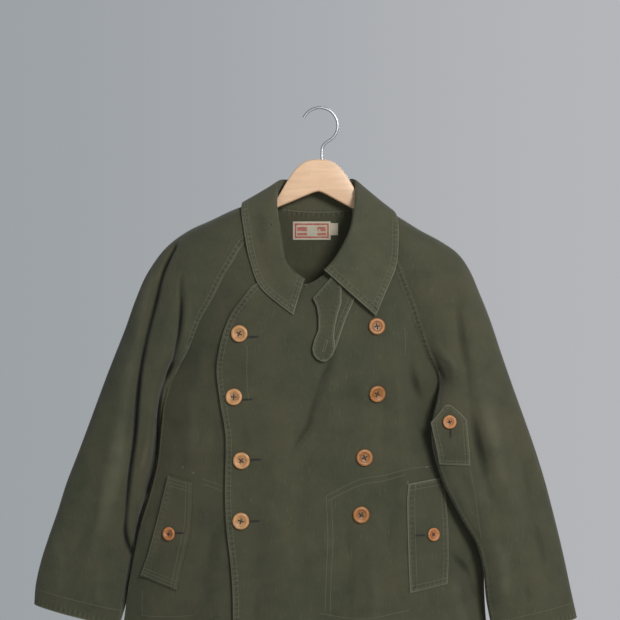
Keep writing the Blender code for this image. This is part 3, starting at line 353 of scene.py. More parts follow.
def back_grid():
    first_edge, last_edge = edge_lines(1)
    u = (1 - np.cos(np.linspace(0.0, math.pi, BACK_COLUMNS + 1))) / 2
    u = 0.5 * u + 0.5 * np.linspace(0.0, 1.0, BACK_COLUMNS + 1)
    return np.array([body_point(u, row, first, last, 1)
                     for row, first, last in zip(body_rows(), first_edge, last_edge)])


def grid_normals(grid, outward):
    down = np.gradient(grid, axis=0)
    across = np.gradient(grid, axis=1)
    return outward * unit(np.cross(down, across))


def narrowed(grid, gap=SEAM_GAP / 2):
    """The grid with each border drawn in by half a seam gap."""
    out = grid.copy()
    out[:, 0] += gap * unit(grid[:, 1] - grid[:, 0])
    out[:, -1] += gap * unit(grid[:, -2] - grid[:, -1])
    out[0] += gap * unit(grid[1] - grid[0])
    out[-1] += gap * unit(grid[-2] - grid[-1])
    return out


def share(normals_a, place_a, normals_b, place_b):
    """Two panels that meet take the same wall direction along their seam."""
    both = unit(normals_a[place_a] + normals_b[place_b])
    normals_a[place_a] = both
    normals_b[place_b] = both


# Pieces that lie on the panels: their edges as (x, z)
THROAT_TAB_EDGES = (
    ((19.5, -250.5), (14.5, -259.5), (-10, -287), (-4, -300), (-1.5, -315), (-1.5, -334), (-8, -350),
     (-10.8, -362), (-9, -371), (-3.5, -378), (3, -381)),
    ((34.5, -255), (31.5, -266), (30.8, -278), (30.8, -294), (26, -309), (22, -326), (19.8, -342),
     (21.2, -356), (20, -366), (15.5, -375), (9, -380.4)),
)
UNDERLAY_EDGES = (
    ((37.5, -259.5), (24, -289.5), (15, -319.5), (13.5, -349.5), (13.5, -370)),
    ((57, -267), (50.5, -288), (37, -319), (27, -349), (18, -372)),
)
RIGHT_FLAP_EDGES = (
    ((-227, -554), (-238.5, -601.5), (-249.5, -644), (-257, -672), (-268.5, -703.5)),
    ((-191.5, -562.5), (-192, -595), (-193, -627), (-204, -675), (-214.5, -722.5)),
)
LEFT_FLAP_EDGES = (
    ((132, -564.8), (130, -588), (131, -640), (132.5, -690), (134.4, -725.4)),
    ((185, -557), (188, -577), (191.5, -630), (192, -680), (190.2, -714.8)),
)
SLEEVE_TAB_EDGES = (
    ((187, -446.5), (176, -460), (165.5, -472), (170, -492), (174.5, -512), (178.5, -534)),
    ((194.5, -446.5), (206, -456), (217.5, -468), (219.5, -490), (221.5, -512), (223, -535.5)),
)
SLEEVE_TAB_REACH = 186.0   # the tab stays flat from here to the sleeve's inner edge

LARGE_BUTTONS = {
    "button_right": ((-120, -339.8), (-128, -434.2), (-116.7, -528), (-117.6, -617.4)),
    "button_left": ((84.3, -329.1), (84.3, -429), (65.7, -524), (60.6, -609)),
}
# Small buttons: place (x, z) and what carries each
SMALL_BUTTONS = {
    "button_pocket_right": ((-225, -639), "pocket_flap_right"),
    "button_pocket_left": ((168.9, -640.5), "pocket_flap_left"),
    "button_sleeve": ((192.6, -471), "sleeve_tab"),
}

# Label on the inside of the back: left, right, top, bottom
NECK_LABEL = (-41.0, 16.2, -170.0, -197.5)
SIZE_TAB = (16.8, 27.5, -172.5, -190.5)
LABEL_WALL = 1.0
LABEL_GRID = (40, 20)      # its columns and rows
LABEL_CRUMPLE = (0.5, 0.35, 13.0)  # gap to the back, and the crumples' depth and spacing

# Collar: place round the neck from -1, the end at the wearer's right, through the back to 1;
# then the top of the roll and the outer edge, x, y and z of each.
COLLAR_STATIONS = (
    (-1, -25, -52, -260, -40, -66, -311), (-0.88, -45.5, -52, -243, -67.5, -64, -290),
    (-0.76, -55, -48, -224, -90, -60, -268), (-0.64, -60, -42, -196, -103, -52, -236),
    (-0.54, -64, -32, -165, -112, -46, -198), (-0.45, -65, -16, -132, -117, -34, -158),
    (-0.38, -61, 2, -114, -116, 0, -141), (-0.28, -50, 17, -110, -98, 26, -164),
    (-0.14, -28, 22, -114, -54, 31, -186), (0, -3, 23, -117, -2, 32, -194),
    (0.14, 22, 22, -114, 50, 31, -188), (0.28, 42, 17, -110, 94, 26, -170),
    (0.38, 53, 2, -113, 111, 0, -154.5), (0.45, 54, -16, -132, 116, -28, -172),
    (0.54, 52, -32, -160, 117, -44, -203), (0.66, 47.5, -42, -184, 114, -52, -236),
    (0.78, 36.5, -48, -208, 106, -58, -258), (0.89, 22, -52, -232, 96, -64, -280),
    (1, 8.5, -54, -246, 82.5, -68, -312),
)
COLLAR_COLUMNS = 34
NECK_POINTS = 14           # read along each part of the neckline
NECK_STEP = 0.06           # and how far below it a panel's direction is read, in rows
COLLAR_ENDS = (-24.0, 8.5)  # x of its two ends on the neckline
UNDER_EDGE_FADE = (58.0, 68.0)  # x at the neckline where the top front comes down a layer
# Rows across the collar past the roll: part of the way to the outer edge
COLLAR_FALL = (0.3, 0.65, 1.0)
ROLL_RADIUS = 2.4          # inside the fold at the top of the stand
ROLL_SHARE = 0.35          # and at most this part of the stand's height
COLLAR_LIE = 2.4           # under face of the fall above the garment, at its edge
COLLAR_OVER_TABS = 5.4     # more than that over the throat tab and its underlay
TABS_AT = (0.55, 0.95)     # stations between which the tabs come to lie under the collar
COLLAR_TENTING = 5.0       # and more near the roll
COLLAR_SETTLES = 0.65      # part of the fall by which it has come down on the garment
COLLAR_FRONT = (0.40, 0.47)  # stations between which the collar comes to lie on the front
COLLAR_SEAM_RISE = 0.7

# Wooden hanger, its head from the middle outwards: distance from the middle and z of the top
HANGER_MIDDLE_X = -2.0
HANGER_HEAD = (
    (0, -76.3), (12, -77.1), (22, -80.6), (32, -88.2), (41, -99), (50, -113), (58, -126.5),
    (65, -137.5), (70, -147),
)
HANGER_APEX_Z = -123.5
APEX_ROUND = (1.4, 5.0)    # how much lower the underside's middle is, and over what width
ARM_HEIGHT_NEAR = 23.0
ARM_HEIGHT_END = 17.0
ARM_END = 201.0
ARM_TIP = 8.5              # rounded length past that
STEM_DEPTH = 12.0
STEM_X = 3.0
# Hook: the loop's ends in degrees from +x, and the bend below it, x and z
HOOK_LOOP = (155.0, -46.0)
HOOK_BEND = ((11.6, -49.4), (6.6, -53.6), (3.8, -58.0), (STEM_X, -64.0), (STEM_X, -72.0))


def surface(grids):
    """A tree of the outer faces of some grids, to find what a point lies on. Each comes with
    1 if its columns run the way that turns its faces outward, or -1."""
    points = []
    faces = []
    for grid, outward in grids:
        grid = grid if outward > 0 else grid[:, ::-1]
        rows, columns = grid.shape[:2]
        start = len(points)
        points += [tuple(p) for p in grid.reshape(-1, 3)]
        for i in range(rows - 1):
            for j in range(columns - 1):
                a = start + i * columns + j
                faces += [(a, a + columns, a + columns + 1), (a, a + columns + 1, a + 1)]
    return BVHTree.FromPolygons(points, faces)


def seat_y(tree, x, z, start_y=IN_FRONT):
    """Depth of the first surface met on a line along y, looking away from the viewer."""
    start = Vector((x, start_y, z))
    hit = tree.ray_cast(start, Vector((0.0, 1.0, 0.0)))
    return hit[0].y if hit[0] else None


def strip(edges, rows, columns):
    """Grid of (x, z) between two edge lines, each read at even steps along its length."""
    lines = []
    for edge in edges:
        edge = np.asarray(edge)
        length = path_length(edge)
        even = np.linspace(0.0, length[-1], rows + 1)
        lines.append(read_at(even, length, edge))
    s = np.linspace(0.0, 1.0, columns + 1)[None, :, None]
    return lines[0][:, None] * (1 - s) + lines[1][:, None] * s


def brought_forward(grid, tree, least):
    """The grid, its corners moved to the viewer where the surface behind it comes nearer than
    least anywhere between them."""
    forward = np.zeros(grid.shape[:2])
    parts = np.linspace(0.0, 1.0, 5)
    for i, j in np.ndindex(grid.shape[0] - 1, grid.shape[1] - 1):
        short = 0.0
        for s in parts:
            for t in parts:
                point = ((1 - s) * ((1 - t) * grid[i, j] + t * grid[i, j + 1])
                         + s * ((1 - t) * grid[i + 1, j] + t * grid[i + 1, j + 1]))
                met = seat_y(tree, point[0], point[2])
                if met is not None and abs(met - point[1]) < NEARBY:
                    short = max(short, point[1] - met + least)
        forward[i:i + 2, j:j + 2] = np.maximum(forward[i:i + 2, j:j + 2], short)
    moved = grid.copy()
    moved[..., 1] -= forward
    return moved


def lying(tree, places, rise, reach=None):
    """Seat a grid of (x, z) on a surface, a little out."""
    grid = np.zeros((*places.shape[:2], 3))
    for i, j in np.ndindex(places.shape[:2]):
        x, z = places[i, j]
        y = seat_y(tree, x if reach is None else max(x, reach), z)
        grid[i, j] = (x, y - rise, z)
    return brought_forward(grid, tree, rise * LIE_SHARE)


def neckline():
    """Points round the neckline from the collar's end at the wearer's right, and beside each
    the direction out of the panel. Its own length, halved at the back, gives the station."""
    front_right, front_left = edge_lines(-1)
    back_right, back_left = edge_lines(1)
    of_first_row = NECK_STEP * RAGLAN_ROWS

    def front_part(ends, layer):
        span = front_left[0][0] - front_right[0][0]
        u = (np.linspace(*ends, NECK_POINTS) - front_right[0][0]) / span
        here = body_point(u, 0.0, front_right[0], front_left[0], -1)
        first = front_right[0] + (front_right[1] - front_right[0]) * of_first_row
        last = front_left[0] + (front_left[1] - front_left[0]) * of_first_row
        below = body_point(u, NECK_STEP, first, last, -1)
        out = unit(here - below)
        here[:, 1] -= layer * (1 - smoothstep(*UNDER_EDGE_FADE, here[:, 0]))
        return here, out

    def sleeve_part(table, shift, order):
        grid = sleeve_grid(table, shift, np.array([0.0, NECK_STEP]))
        return grid[0][::order], unit(grid[0] - grid[1])[::order]

    u = np.linspace(0.0, 1.0, NECK_POINTS)
    back_here = body_point(u, 0.0, back_right[0], back_left[0], 1)
    back_up = np.tile([0.0, 0.0, 1.0], (len(u), 1))
    right_half = front_part((COLLAR_ENDS[0], front_right[0][0]), 0.0)
    left_half = front_part((front_left[0][0], COLLAR_ENDS[1]), LAYER_LIFT)
    parts = [right_half, sleeve_part(RIGHT_SLEEVE, RIGHT_BACK_SHIFT, 1), (back_here, back_up),
             sleeve_part(LEFT_SLEEVE, LEFT_BACK_SHIFT, -1), left_half]
    points = np.concatenate([part[0] for part in parts])
    ups = np.concatenate([part[1] for part in parts])
    length = path_length(points)
    back_middle = sum(len(part[0]) for part in parts[:2]) + len(u) // 2
    middle = length[back_middle]
    station = np.where(length < middle, length / middle - 1.0,
                       (length - middle) / (length[-1] - middle))
    keep = np.concatenate([[True], np.diff(station) > 1e-6])
    return station[keep], points[keep], ups[keep]


def collar_grid(neck, tree):
    """The face of the collar that is turned to the garment, from the neckline up the stand,
    over the roll and down the fall."""
    station, points, ups = neck
    s = np.linspace(-1.0, 1.0, COLLAR_COLUMNS + 1)
    seam = read_at(s, station, points)
    rise = unit(read_at(s, station, ups))
    seam = seam + rise * COLLAR_SEAM_RISE
    table = spline(COLLAR_STATIONS, s)
    roll = table[:, :3]
    edge = table[:, 3:]
    up = unit(roll - seam)
    down = unit(edge - roll)
    turn = np.arccos(np.clip(np.sum(up * down, axis=1), -1.0, 1.0))[:, None]
    out = unit(down - np.sum(up * down, axis=1)[:, None] * up)
    stand = np.linalg.norm(roll - seam, axis=1)[:, None]
    radius = np.minimum(ROLL_RADIUS, ROLL_SHARE * stand)
    centre = roll + radius * (out - up)
    bend = [centre + radius * (np.cos(math.pi - part * turn) * out
                               + np.sin(math.pi - part * turn) * up) for part in (0.0, 0.5, 1.0)]
    rows = [seam, 0.5 * seam + 0.5 * bend[0], *bend]
    rows += [bend[2] + (edge - bend[2]) * part for part in COLLAR_FALL]
    grid = np.array(rows)
    on_front = smoothstep(*COLLAR_FRONT, np.abs(s))
    over_tabs = COLLAR_OVER_TABS * smoothstep(*TABS_AT, s)
    first_fall = len(grid) - len(COLLAR_FALL)
    for i in range(first_fall, len(grid)):
        part = COLLAR_FALL[i - first_fall]
        settled = smoothstep(0.0, COLLAR_SETTLES, part)
        for j in range(len(s)):
            x, y, z = grid[i, j]
            met = seat_y(tree, x, z)
            if met is not None and on_front[j] > 0 and abs(met - y) < NEARBY:
                seated = met - COLLAR_LIE - COLLAR_TENTING * (1 - part) - over_tabs[j]
                grid[i, j, 1] = y + (seated - y) * on_front[j] * settled
        eased = grid[i].copy()
        eased[1:-1] = 0.25 * grid[i, :-2] + 0.5 * grid[i, 1:-1] + 0.25 * grid[i, 2:]
        grid[i, :, 1] = eased[:, 1]
        for j in range(len(s)):
            grid[i, j] = kept_clear(grid[i, j], tree, COLLAR_LIE)
    for half in (s < -COLLAR_FRONT[0], s > COLLAR_FRONT[0]):
        fall = np.ix_(range(first_fall, len(grid)), np.flatnonzero(half))
        grid[fall] = brought_forward(grid[fall], tree, LIE_GAP)
    return grid


def kept_clear(point, tree, least):
    """The point, moved out along the nearest face's normal if it is nearer than least."""
    near, normal, _, _ = tree.find_nearest(Vector(point))
    away = Vector(point) - near
    side = away.dot(normal)
    if side < 0 or away.length < least:
        return np.array(near + normal * least)
    return point


# 1 where a panel's rows and columns turn its faces outward, -1 where they turn them inward
OUTWARD = {"front_right": 1.0, "front_left": 1.0, "back": -1.0,
           "sleeve_right": -1.0, "sleeve_left": 1.0}


def ridge(table):
    """Top line of a shoulder from the sleeve's table: x away from the middle, and z."""
    keyed = np.column_stack([np.linspace(0.0, 2.0, len(table)), np.asarray(table)])
    sections = spline(keyed, np.linspace(0.0, 1.0, RAGLAN_ROWS + 1))
    return sections[:, 2], sections[:, 3]


# Creases, as places (x, z) from start to end, height (a trough is negative) and the widths
# on the left and right of the way. A narrow side is a sharp one.
FRONT_CREASES = (
    # Lower right sleeve
    ((-262, -600), (-292, -652), (-300, -720), -3, 9, 13),
    ((-336, -560), (-356, -640), (-384, -700), -2.6, 11, 9),
    ((-402, -640), (-388, -690), (-394, -744), 2.4, 10, 12),
    ((-330, -700), (-334, -730), (-330, -752), 2.6, 9, 9),
    # Wearer's left shoulder and sleeve
    ((150, -196), (178, -252), (192, -312), -1.8, 14, 20),
    ((208, -286), (212, -330), (218, -376), (227, -440), (236, -490), (249, -545), -4.8, 7, 13),
    ((186, -318), (198, -380), (206, -430), 2, 12, 8),
    ((246, -400), (262, -500), (286, -590), 3.2, 12, 16),
    ((230, -470), (250, -548), (268, -640), -3.4, 10, 14),
    ((290, -470), (312, -560), (330, -650), -2.4, 10, 12),
    ((318, -600), (336, -680), (346, -760), -3, 9, 14),
    ((262, -640), (276, -700), (272, -748), 3, 12, 12),
    ((300, -690), (312, -730), (308, -766), -2.6, 10, 9),
    ((204, -540), (222, -580), (238, -628), -2.8, 8, 10),
    # Left armpit, under the raglan seam
    ((170, -374), (177, -392), (187, -412), -4, 4, 6), ((172, -352), (190, -378), (218, -396), 2, 7, 6),
    # Long soft crease below the throat tab
    ((18, -366), (15, -383), (1, -414), (-11, -454), (-17, -478), (-30, -497), (-44, -520),
     -4.2, 3.6, 8),
    ((34, -360), (22, -420), (10, -470), 2.4, 10, 14),
    # Down the wearer's left front
    ((136, -366), (143, -406), (154, -443), (164, -480), -4.6, 5.5, 11),
    ((88, -400), (94, -470), (90, -540), -2.6, 6, 12),
    ((112, -330), (118, -420), (126, -520), 2, 10, 10),
    ((62, -372), (66, -450), (58, -540), 1.8, 14, 14),
    ((112, -520), (106, -610), (100, -700), -2.6, 8, 12),
    ((28, -560), (18, -640), (24, -740), 2.2, 12, 16),
    ((36, -600), (44, -680), (40, -770), -3.2, 7, 13),
    ((70, -650), (84, -730), (80, -820), 2.4, 14, 12),
    ((193, -664), (213, -684), (228, -706), (236, -746), -4.4, 5, 10),
    ((200, -700), (214, -760), (230, -830), 2.6, 12, 12),
    ((-24, -540), (-30, -640), (-24, -740), -2.4, 12, 16),
    ((-74, -480), (-66, -560), (-72, -660), 2, 14, 14),
    ((-100, -640), (-92, -720), (-96, -810), -2.2, 10, 14),
    ((-46, -330), (-64, -380), (-70, -450), -1.6, 12, 14),
    # Wearer's right front, between the sleeve and the free edge of the top front
    ((-146, -452), (-158, -500), (-160, -548), -2.4, 8, 12),
    ((-196, -420), (-190, -480), (-196, -540), 2, 12, 12),
    ((-150, -600), (-160, -660), (-176, -730), -3.2, 8, 13),
    ((-146, -640), (-146, -720), (-150, -800), 2.2, 10, 14),
    ((-172, -330), (-176, -372), (-184, -420), 1.8, 12, 10),
    # Bottom of the body
    ((-190, -740), (-202, -820), (-214, -910), -3.4, 12, 16),
    ((-120, -780), (-118, -850), (-124, -912), 2.8, 14, 14),
    ((-30, -760), (-24, -840), (-34, -914), 3, 16, 14),
    ((66, -790), (60, -850), (66, -914), -3.4, 13, 16),
    ((140, -760), (150, -840), (144, -912), 3, 14, 15),
    ((212, -800), (222, -860), (220, -910), -3, 12, 14),
    ((-262, -780), (-270, -850), (-282, -908), 2.6, 12, 12),
)
# Only on the wearer's right sleeve
RIGHT_SLEEVE_CREASES = (
    # The deep crease down its whole length, and the roll of cloth outside it
    ((-219, -209), (-236, -247), (-247, -292), (-259, -340), (-268.5, -390), (-274.5, -440),
     (-279, -498), (-287, -557), (-291.5, -608), (-293, -640), (-285, -668), -9, 3.6, 3.2),
    ((-238, -222), (-266, -300), (-284, -400), 3.4, 9, 14),
    ((-284, -380), (-298, -490), (-314, -590), 3.2, 9, 16),
    ((-300, -470), (-322, -590), (-352, -720), 2.6, 16, 12),
    # The second crease, from the shoulder into the armpit
    ((-209, -258), (-207.5, -300), (-211, -340), (-218, -375), (-224, -396), (-228, -416),
     -7.5, 3.6, 3.2),
    ((-196, -270), (-196, -320), (-204, -366), 2.6, 10, 8),
    # Behind the body's side, where the sleeve turns away
    ((-222, -394), (-233, -428), (-240, -480), (-247, -530), (-257, -575), -11.5, 10, 8.5),
    ((-256, -568), (-270, -622), (-281, -670), (-290, -724), (-298, -760), -8, 8, 4.6),
    ((-236, -410), (-252, -480), (-266, -560), 2.6, 10, 10),
    # Crumples at the armpit
    ((-197, -352), (-205, -366), (-214, -382), 3.4, 3.4, 3),
    ((-191, -366), (-203, -382), (-216, -398), -5.4, 3.2, 3),
    ((-198, -384), (-209, -394), (-221, -402), 3.2, 3.2, 3),
    ((-262, -505), (-270, -540), (-284, -556), 1.6, 6, 6),
)
BACK_CREASES = (
    ((-150, -230), (-120, -300), (-104, -400), 3.2, 16, 12),
    ((-176, -330), (-150, -400), (-140, -520), -2.6, 10, 16),
    ((146, -232), (122, -310), (110, -420), 3, 12, 16),
    ((172, -340), (150, -420), (146, -540), -2.5, 15, 9),
    ((-60, -230), (-20, -248), (44, -232), -2.6, 12, 9),
    ((-40, -270), (0, -282), (50, -268), 1.8, 10, 12),
    ((-30, -340), (-38, -460), (-26, -600), -2.6, 18, 14),
    ((48, -380), (54, -520), (40, -680), 2.6, 16, 18),
    ((-110, -520), (-104, -640), (-118, -780), 2.8, 16, 16),
    ((110, -560), (122, -680), (112, -820), -2.4, 16, 12),
    ((-200, -600), (-206, -720), (-222, -860), -2.5, 12, 16),
    ((190, -620), (200, -740), (206, -880), 3, 16, 12),
    ((0, -700), (-10, -800), (4, -910), -2.4, 14, 18),
    ((-70, -780), (-64, -850), (-74, -912), 3.2, 14, 14),
    ((70, -800), (78, -860), (70, -912), -2.8, 14, 14),
    ((-232, -250), (-262, -350), (-280, -460), -2.9, 8, 14),
    ((-272, -430), (-300, -540), (-316, -660), -2.6, 12, 9),
    ((-300, -380), (-330, -480), (-360, -600), 3, 14, 12),
    ((-350, -620), (-370, -680), (-376, -740), -2.4, 10, 12),
    ((-250, -470), (-270, -500), (-310, -512), -2.6, 8, 10),
    ((-252, -500), (-280, -528), (-330, -530), 2.2, 9, 8),
    ((206, -260), (232, -350), (244, -440), -2.8, 13, 8),
    ((236, -440), (262, -540), (280, -640), -2.6, 9, 13),
    ((262, -380), (290, -470), (316, -580), 3, 12, 14),
    ((300, -620), (322, -690), (330, -762), -2.4, 12, 10),
    ((196, -480), (222, -506), (262, -514), -2.4, 9, 8),
)
UNEVEN = 0.18              # how much a crease's depth varies along it
CREASE_STEPS = 4           # straight runs between two of a crease's places
FACING = (0.05, 0.55)      # how far a face turns to the front or back before it is creased
# Random crumpling: spacing and height
CRUMPLE = ((95.0, 1.1), (38.0, 0.55), (16.0, 0.22))
SHELL_WALL = 1.5
RIM_ROUND = 0.45
BORDER_STEPS = (1.4, 3.0, 5.0, 8.0, 12.0)   # extra columns beside a sewn edge
SEAM_BAND = (9.0, 11.5)    # the doubled cloth beside a seam ends between these
SEAM_BAND_HEIGHT = 1.0
SEAM_EASE = 12.0           # how far from a seam a panel bends to meet its neighbour
FINER_ROWS = 8
FINER_COLUMNS = 11
ROW_CELL = 45.0            # about how far apart the solids' rows and columns are, in mm
COLUMN_CELL = 28.0
EDGE_LIFT = 3.2            # how far the top front's free edge stands off the front under it
LIFT_REACH = 30.0
ARMPIT = (-412.0, 15.0, 5.0)  # where, over what height and how far the side reaches past the sleeve
BACK_CREASED = (-150.0, -215.0)   # heights between which the back's creases begin
ACROSS = np.array([0.35, 1.0, 0.35])   # creases move the cloth mostly to the front or back
FAR_FROM_SEWING = 99.0     # distance kept where a sheet has no sewn border
HEM_TURN = 24.0            # depth of the turned hem and cuffs
NECK_SHADE = 14.0          # creases fade out this far from the collar's outline

Sheet = namedtuple("Sheet", "points normals edge along crest")


def soft_noise(x, z, spacing, seed):
    """Smooth noise from -1 to 1 on a square lattice."""
    size = 64
    lattice = np.random.default_rng(seed).uniform(-1.0, 1.0, (size, size))
    u = np.asarray(x) / spacing
    v = np.asarray(z) / spacing
    i = np.floor(u).astype(int)
    j = np.floor(v).astype(int)
    s = smoothstep(0.0, 1.0, u - i)
    t = smoothstep(0.0, 1.0, v - j)
    near = lattice[i % size, j % size] * (1 - s) + lattice[(i + 1) % size, j % size] * s
    far = lattice[i % size, (j + 1) % size] * (1 - s) + lattice[(i + 1) % size, (j + 1) % size] * s
    return near * (1 - t) + far * t


def crease_height(x, z, creases):
    """Height of all creases over each point. A crease runs along a curve through its
    places, is uneven along its length and has its own width on either side."""
    total = np.zeros(np.shape(x))
    for number, (*marks, height, left, right) in enumerate(creases):
        marks = np.asarray(marks)
        reach = 3.0 * max(left, right)
        low = marks.min(axis=0) - reach
        high = marks.max(axis=0) + reach
        close = (x > low[0]) & (x < high[0]) & (z > low[1]) & (z < high[1])
        if not close.any():
            continue
        px, pz = x[close], z[close]
        steps = CREASE_STEPS * (len(marks) - 1)
        path = spline(np.column_stack([np.arange(len(marks)), marks]),
                      np.linspace(0.0, len(marks) - 1, steps + 1))
        nearest = np.full(px.shape, np.inf)
        signed = np.zeros(px.shape)
        place = np.zeros(px.shape)
        for k in range(steps):
            run = path[k + 1] - path[k]
            s = np.clip(((px - path[k, 0]) * run[0] + (pz - path[k, 1]) * run[1])
                        / (run @ run), 0.0, 1.0)
            dx = px - path[k, 0] - s * run[0]
            dz = pz - path[k, 1] - s * run[1]
            distance = np.hypot(dx, dz)
            closer = distance < nearest
            side = np.sign(run[0] * dz - run[1] * dx)
            nearest = np.where(closer, distance, nearest)
            signed = np.where(closer, side * distance, signed)
            place = np.where(closer, (k + s) / steps, place)
        width = np.where(signed > 0, left, right)
        uneven = 1 + UNEVEN * np.sin(math.tau * (1.7 * place + 0.37 * number))
        fade = np.sin(math.pi * np.clip(0.06 + 0.88 * place, 0.0, 1.0)) ** (2.4 / len(marks))
        total[close] += height * uneven * fade * np.exp(-(nearest / width) ** 2)
    return total


def collar_outline():
    """The collar's outer edge over the fronts, as (x, z), closed along the neck."""
    return [(row[4], row[6]) for row in COLLAR_STATIONS]


def clear_of_collar(x, z):
    """0 under the collar and 1 away from it."""
    outline = np.asarray(collar_outline())
    inside = np.zeros(np.shape(x), bool)
    nearest = np.full(np.shape(x), np.inf)
    for a, b in zip(outline, np.roll(outline, -1, axis=0)):
        run = b - a
        s = np.clip(((x - a[0]) * run[0] + (z - a[1]) * run[1]) / (run @ run), 0.0, 1.0)
        nearest = np.minimum(nearest, np.hypot(x - a[0] - s * run[0], z - a[1] - s * run[1]))
        crosses = (a[1] > z) != (b[1] > z)
        with np.errstate(divide="ignore", invalid="ignore"):
            at = a[0] + (z - a[1]) * run[0] / run[1]
        inside ^= crosses & (x < at)
    return np.where(inside, 0.0, smoothstep(0.0, NECK_SHADE, nearest))


def relief(points, normals, amount, own):
    """How far the creased cloth stands out from the plain form at each point. own holds the
    creases that only this panel has."""
    x, _, z = np.moveaxis(points, -1, 0)
    front = smoothstep(*FACING, -normals[..., 1])
    back = smoothstep(*FACING, normals[..., 1])
    shade = clear_of_collar(x, z)
    total = front * shade * crease_height(x, z, FRONT_CREASES + own)
    total = total + back * smoothstep(*BACK_CREASED, z) * crease_height(x, z, BACK_CREASES)
    for number, (spacing, height) in enumerate(CRUMPLE):
        facing_front = soft_noise(x, z, spacing, number)
        facing_back = soft_noise(x + 1000.0, z, spacing, number + 10)
        total = total + height * (front * shade * facing_front + back * facing_back)
    return amount * total


def refined(grid, rows, columns):
    """The grid read at fractional row and column numbers, on smooth curves through it."""
    keyed = np.column_stack([np.arange(len(grid)), grid.reshape(len(grid), -1)])
    down = spline(keyed, rows).reshape(len(rows), grid.shape[1], 3).transpose(1, 0, 2)
    keyed = np.column_stack([np.arange(len(down)), down.reshape(len(down), -1)])
    return spline(keyed, columns).reshape(len(columns), len(rows), 3).transpose(1, 0, 2)


def places(count, finer, cell, borders=(True, True)):
    """Fractional numbers along count cells of about the given size in mm, closer together at
    the borders named, where there is sewing."""
    even = np.linspace(0.0, count, count * finer + 1)
    extra = np.asarray(BORDER_STEPS) / cell
    clear = extra[-1] + 0.4 / finer
    if borders[0]:
        even = np.concatenate([[0.0], extra, even[even > clear]])
    if borders[1]:
        even = np.concatenate([even[even < count - clear], count - extra[::-1], [count]])
    return even


def lengths(grid, axis):
    """Distance run along an axis of a grid, from its first row or column."""
    steps = np.linalg.norm(np.diff(grid, axis=axis), axis=-1)
    start = np.zeros_like(np.take(steps, [0], axis=axis))
    return np.concatenate([start, np.cumsum(steps, axis=axis)], axis=axis)


def beside_borders(points, sewn):
    """Distance from the nearest sewn border, and how far along that border each point lies."""
    edge = np.full(points.shape[:2], FAR_FROM_SEWING)
    along = np.zeros(points.shape[:2])
    for border in sewn:
        lined = points if border in ("left", "right") else points.transpose(1, 0, 2)
        lined = lined if border in ("left", "top") else lined[:, ::-1]
        way = unit(np.gradient(lined[:, 0], axis=0))[:, None]
        run = lengths(lined, 0)[:, :1] + np.sum((lined - lined[:, :1]) * way, axis=-1)
        away = lengths(lined, 1)
        if border in ("right", "bottom"):
            run, away = run[:, ::-1], away[:, ::-1]
        if border in ("top", "bottom"):
            run, away = run.T, away.T
        along = np.where(away < edge, run, along)
        edge = np.minimum(edge, away)
    return edge, along


def sewn_sheet(points, outward, amount, sewn, bands=(0.0, 0.0), own=(), lift=0.0):
    """A panel with its creases. sewn names the borders with stitching: left, right, top and
    bottom. bands are the heights of the doubled cloth beside the left and right borders, and
    lift is how far the left border stands off what it lies on."""
    normals = grid_normals(points, outward)
    across = lengths(points, 1)
    height = relief(points, normals, amount, own)
    x, _, z = np.moveaxis(points, -1, 0)
    raised = lift * clear_of_collar(x, z) * (1 - smoothstep(0.0, LIFT_REACH, across))
    for distance, band in zip((across, across[:, -1:] - across), bands):
        raised = raised + band * (1 - smoothstep(*SEAM_BAND, distance))
    moved = points + normals * raised[..., None] + unit(normals * ACROSS) * height[..., None]
    return Sheet(moved, normals, *beside_borders(points, sewn), height)


def cad_grids():
    """The panels' own grids, as the solids have them."""
    steps = np.concatenate([np.linspace(0.0, 1.0, RAGLAN_ROWS + 1),
                            1.0 + np.linspace(0.0, 1.0, TUBE_ROWS + 1)[1:]])
    under, top = front_grids()
    grids = {"front_right": under, "front_left": top, "back": back_grid(),
             "sleeve_right": sleeve_grid(RIGHT_SLEEVE, RIGHT_BACK_SHIFT, steps),
             "sleeve_left": sleeve_grid(LEFT_SLEEVE, LEFT_BACK_SHIFT, steps)}
    return {name: narrowed(grid) for name, grid in grids.items()}


# Which borders of each panel are sewn, and which have a band of doubled cloth beside them
PANEL_SEWING = {
    "front_right": (("top", "bottom"), (0, 0)), "front_left": (("left", "top", "bottom"), (0.5, 0)),
    "back": (("top", "bottom"), (0, 0)),
    "sleeve_right": (("left", "right", "bottom"), (SEAM_BAND_HEIGHT, SEAM_BAND_HEIGHT)),
    "sleeve_left": (("left", "right", "bottom"), (SEAM_BAND_HEIGHT, SEAM_BAND_HEIGHT)),
}
# Borders that two panels share: name and column of each
SHARED_SEAMS = (
    ("front_right", 0, "sleeve_right", 0), ("back", 0, "sleeve_right", -1),
    ("front_left", -1, "sleeve_left", 0), ("back", -1, "sleeve_left", -1),
)


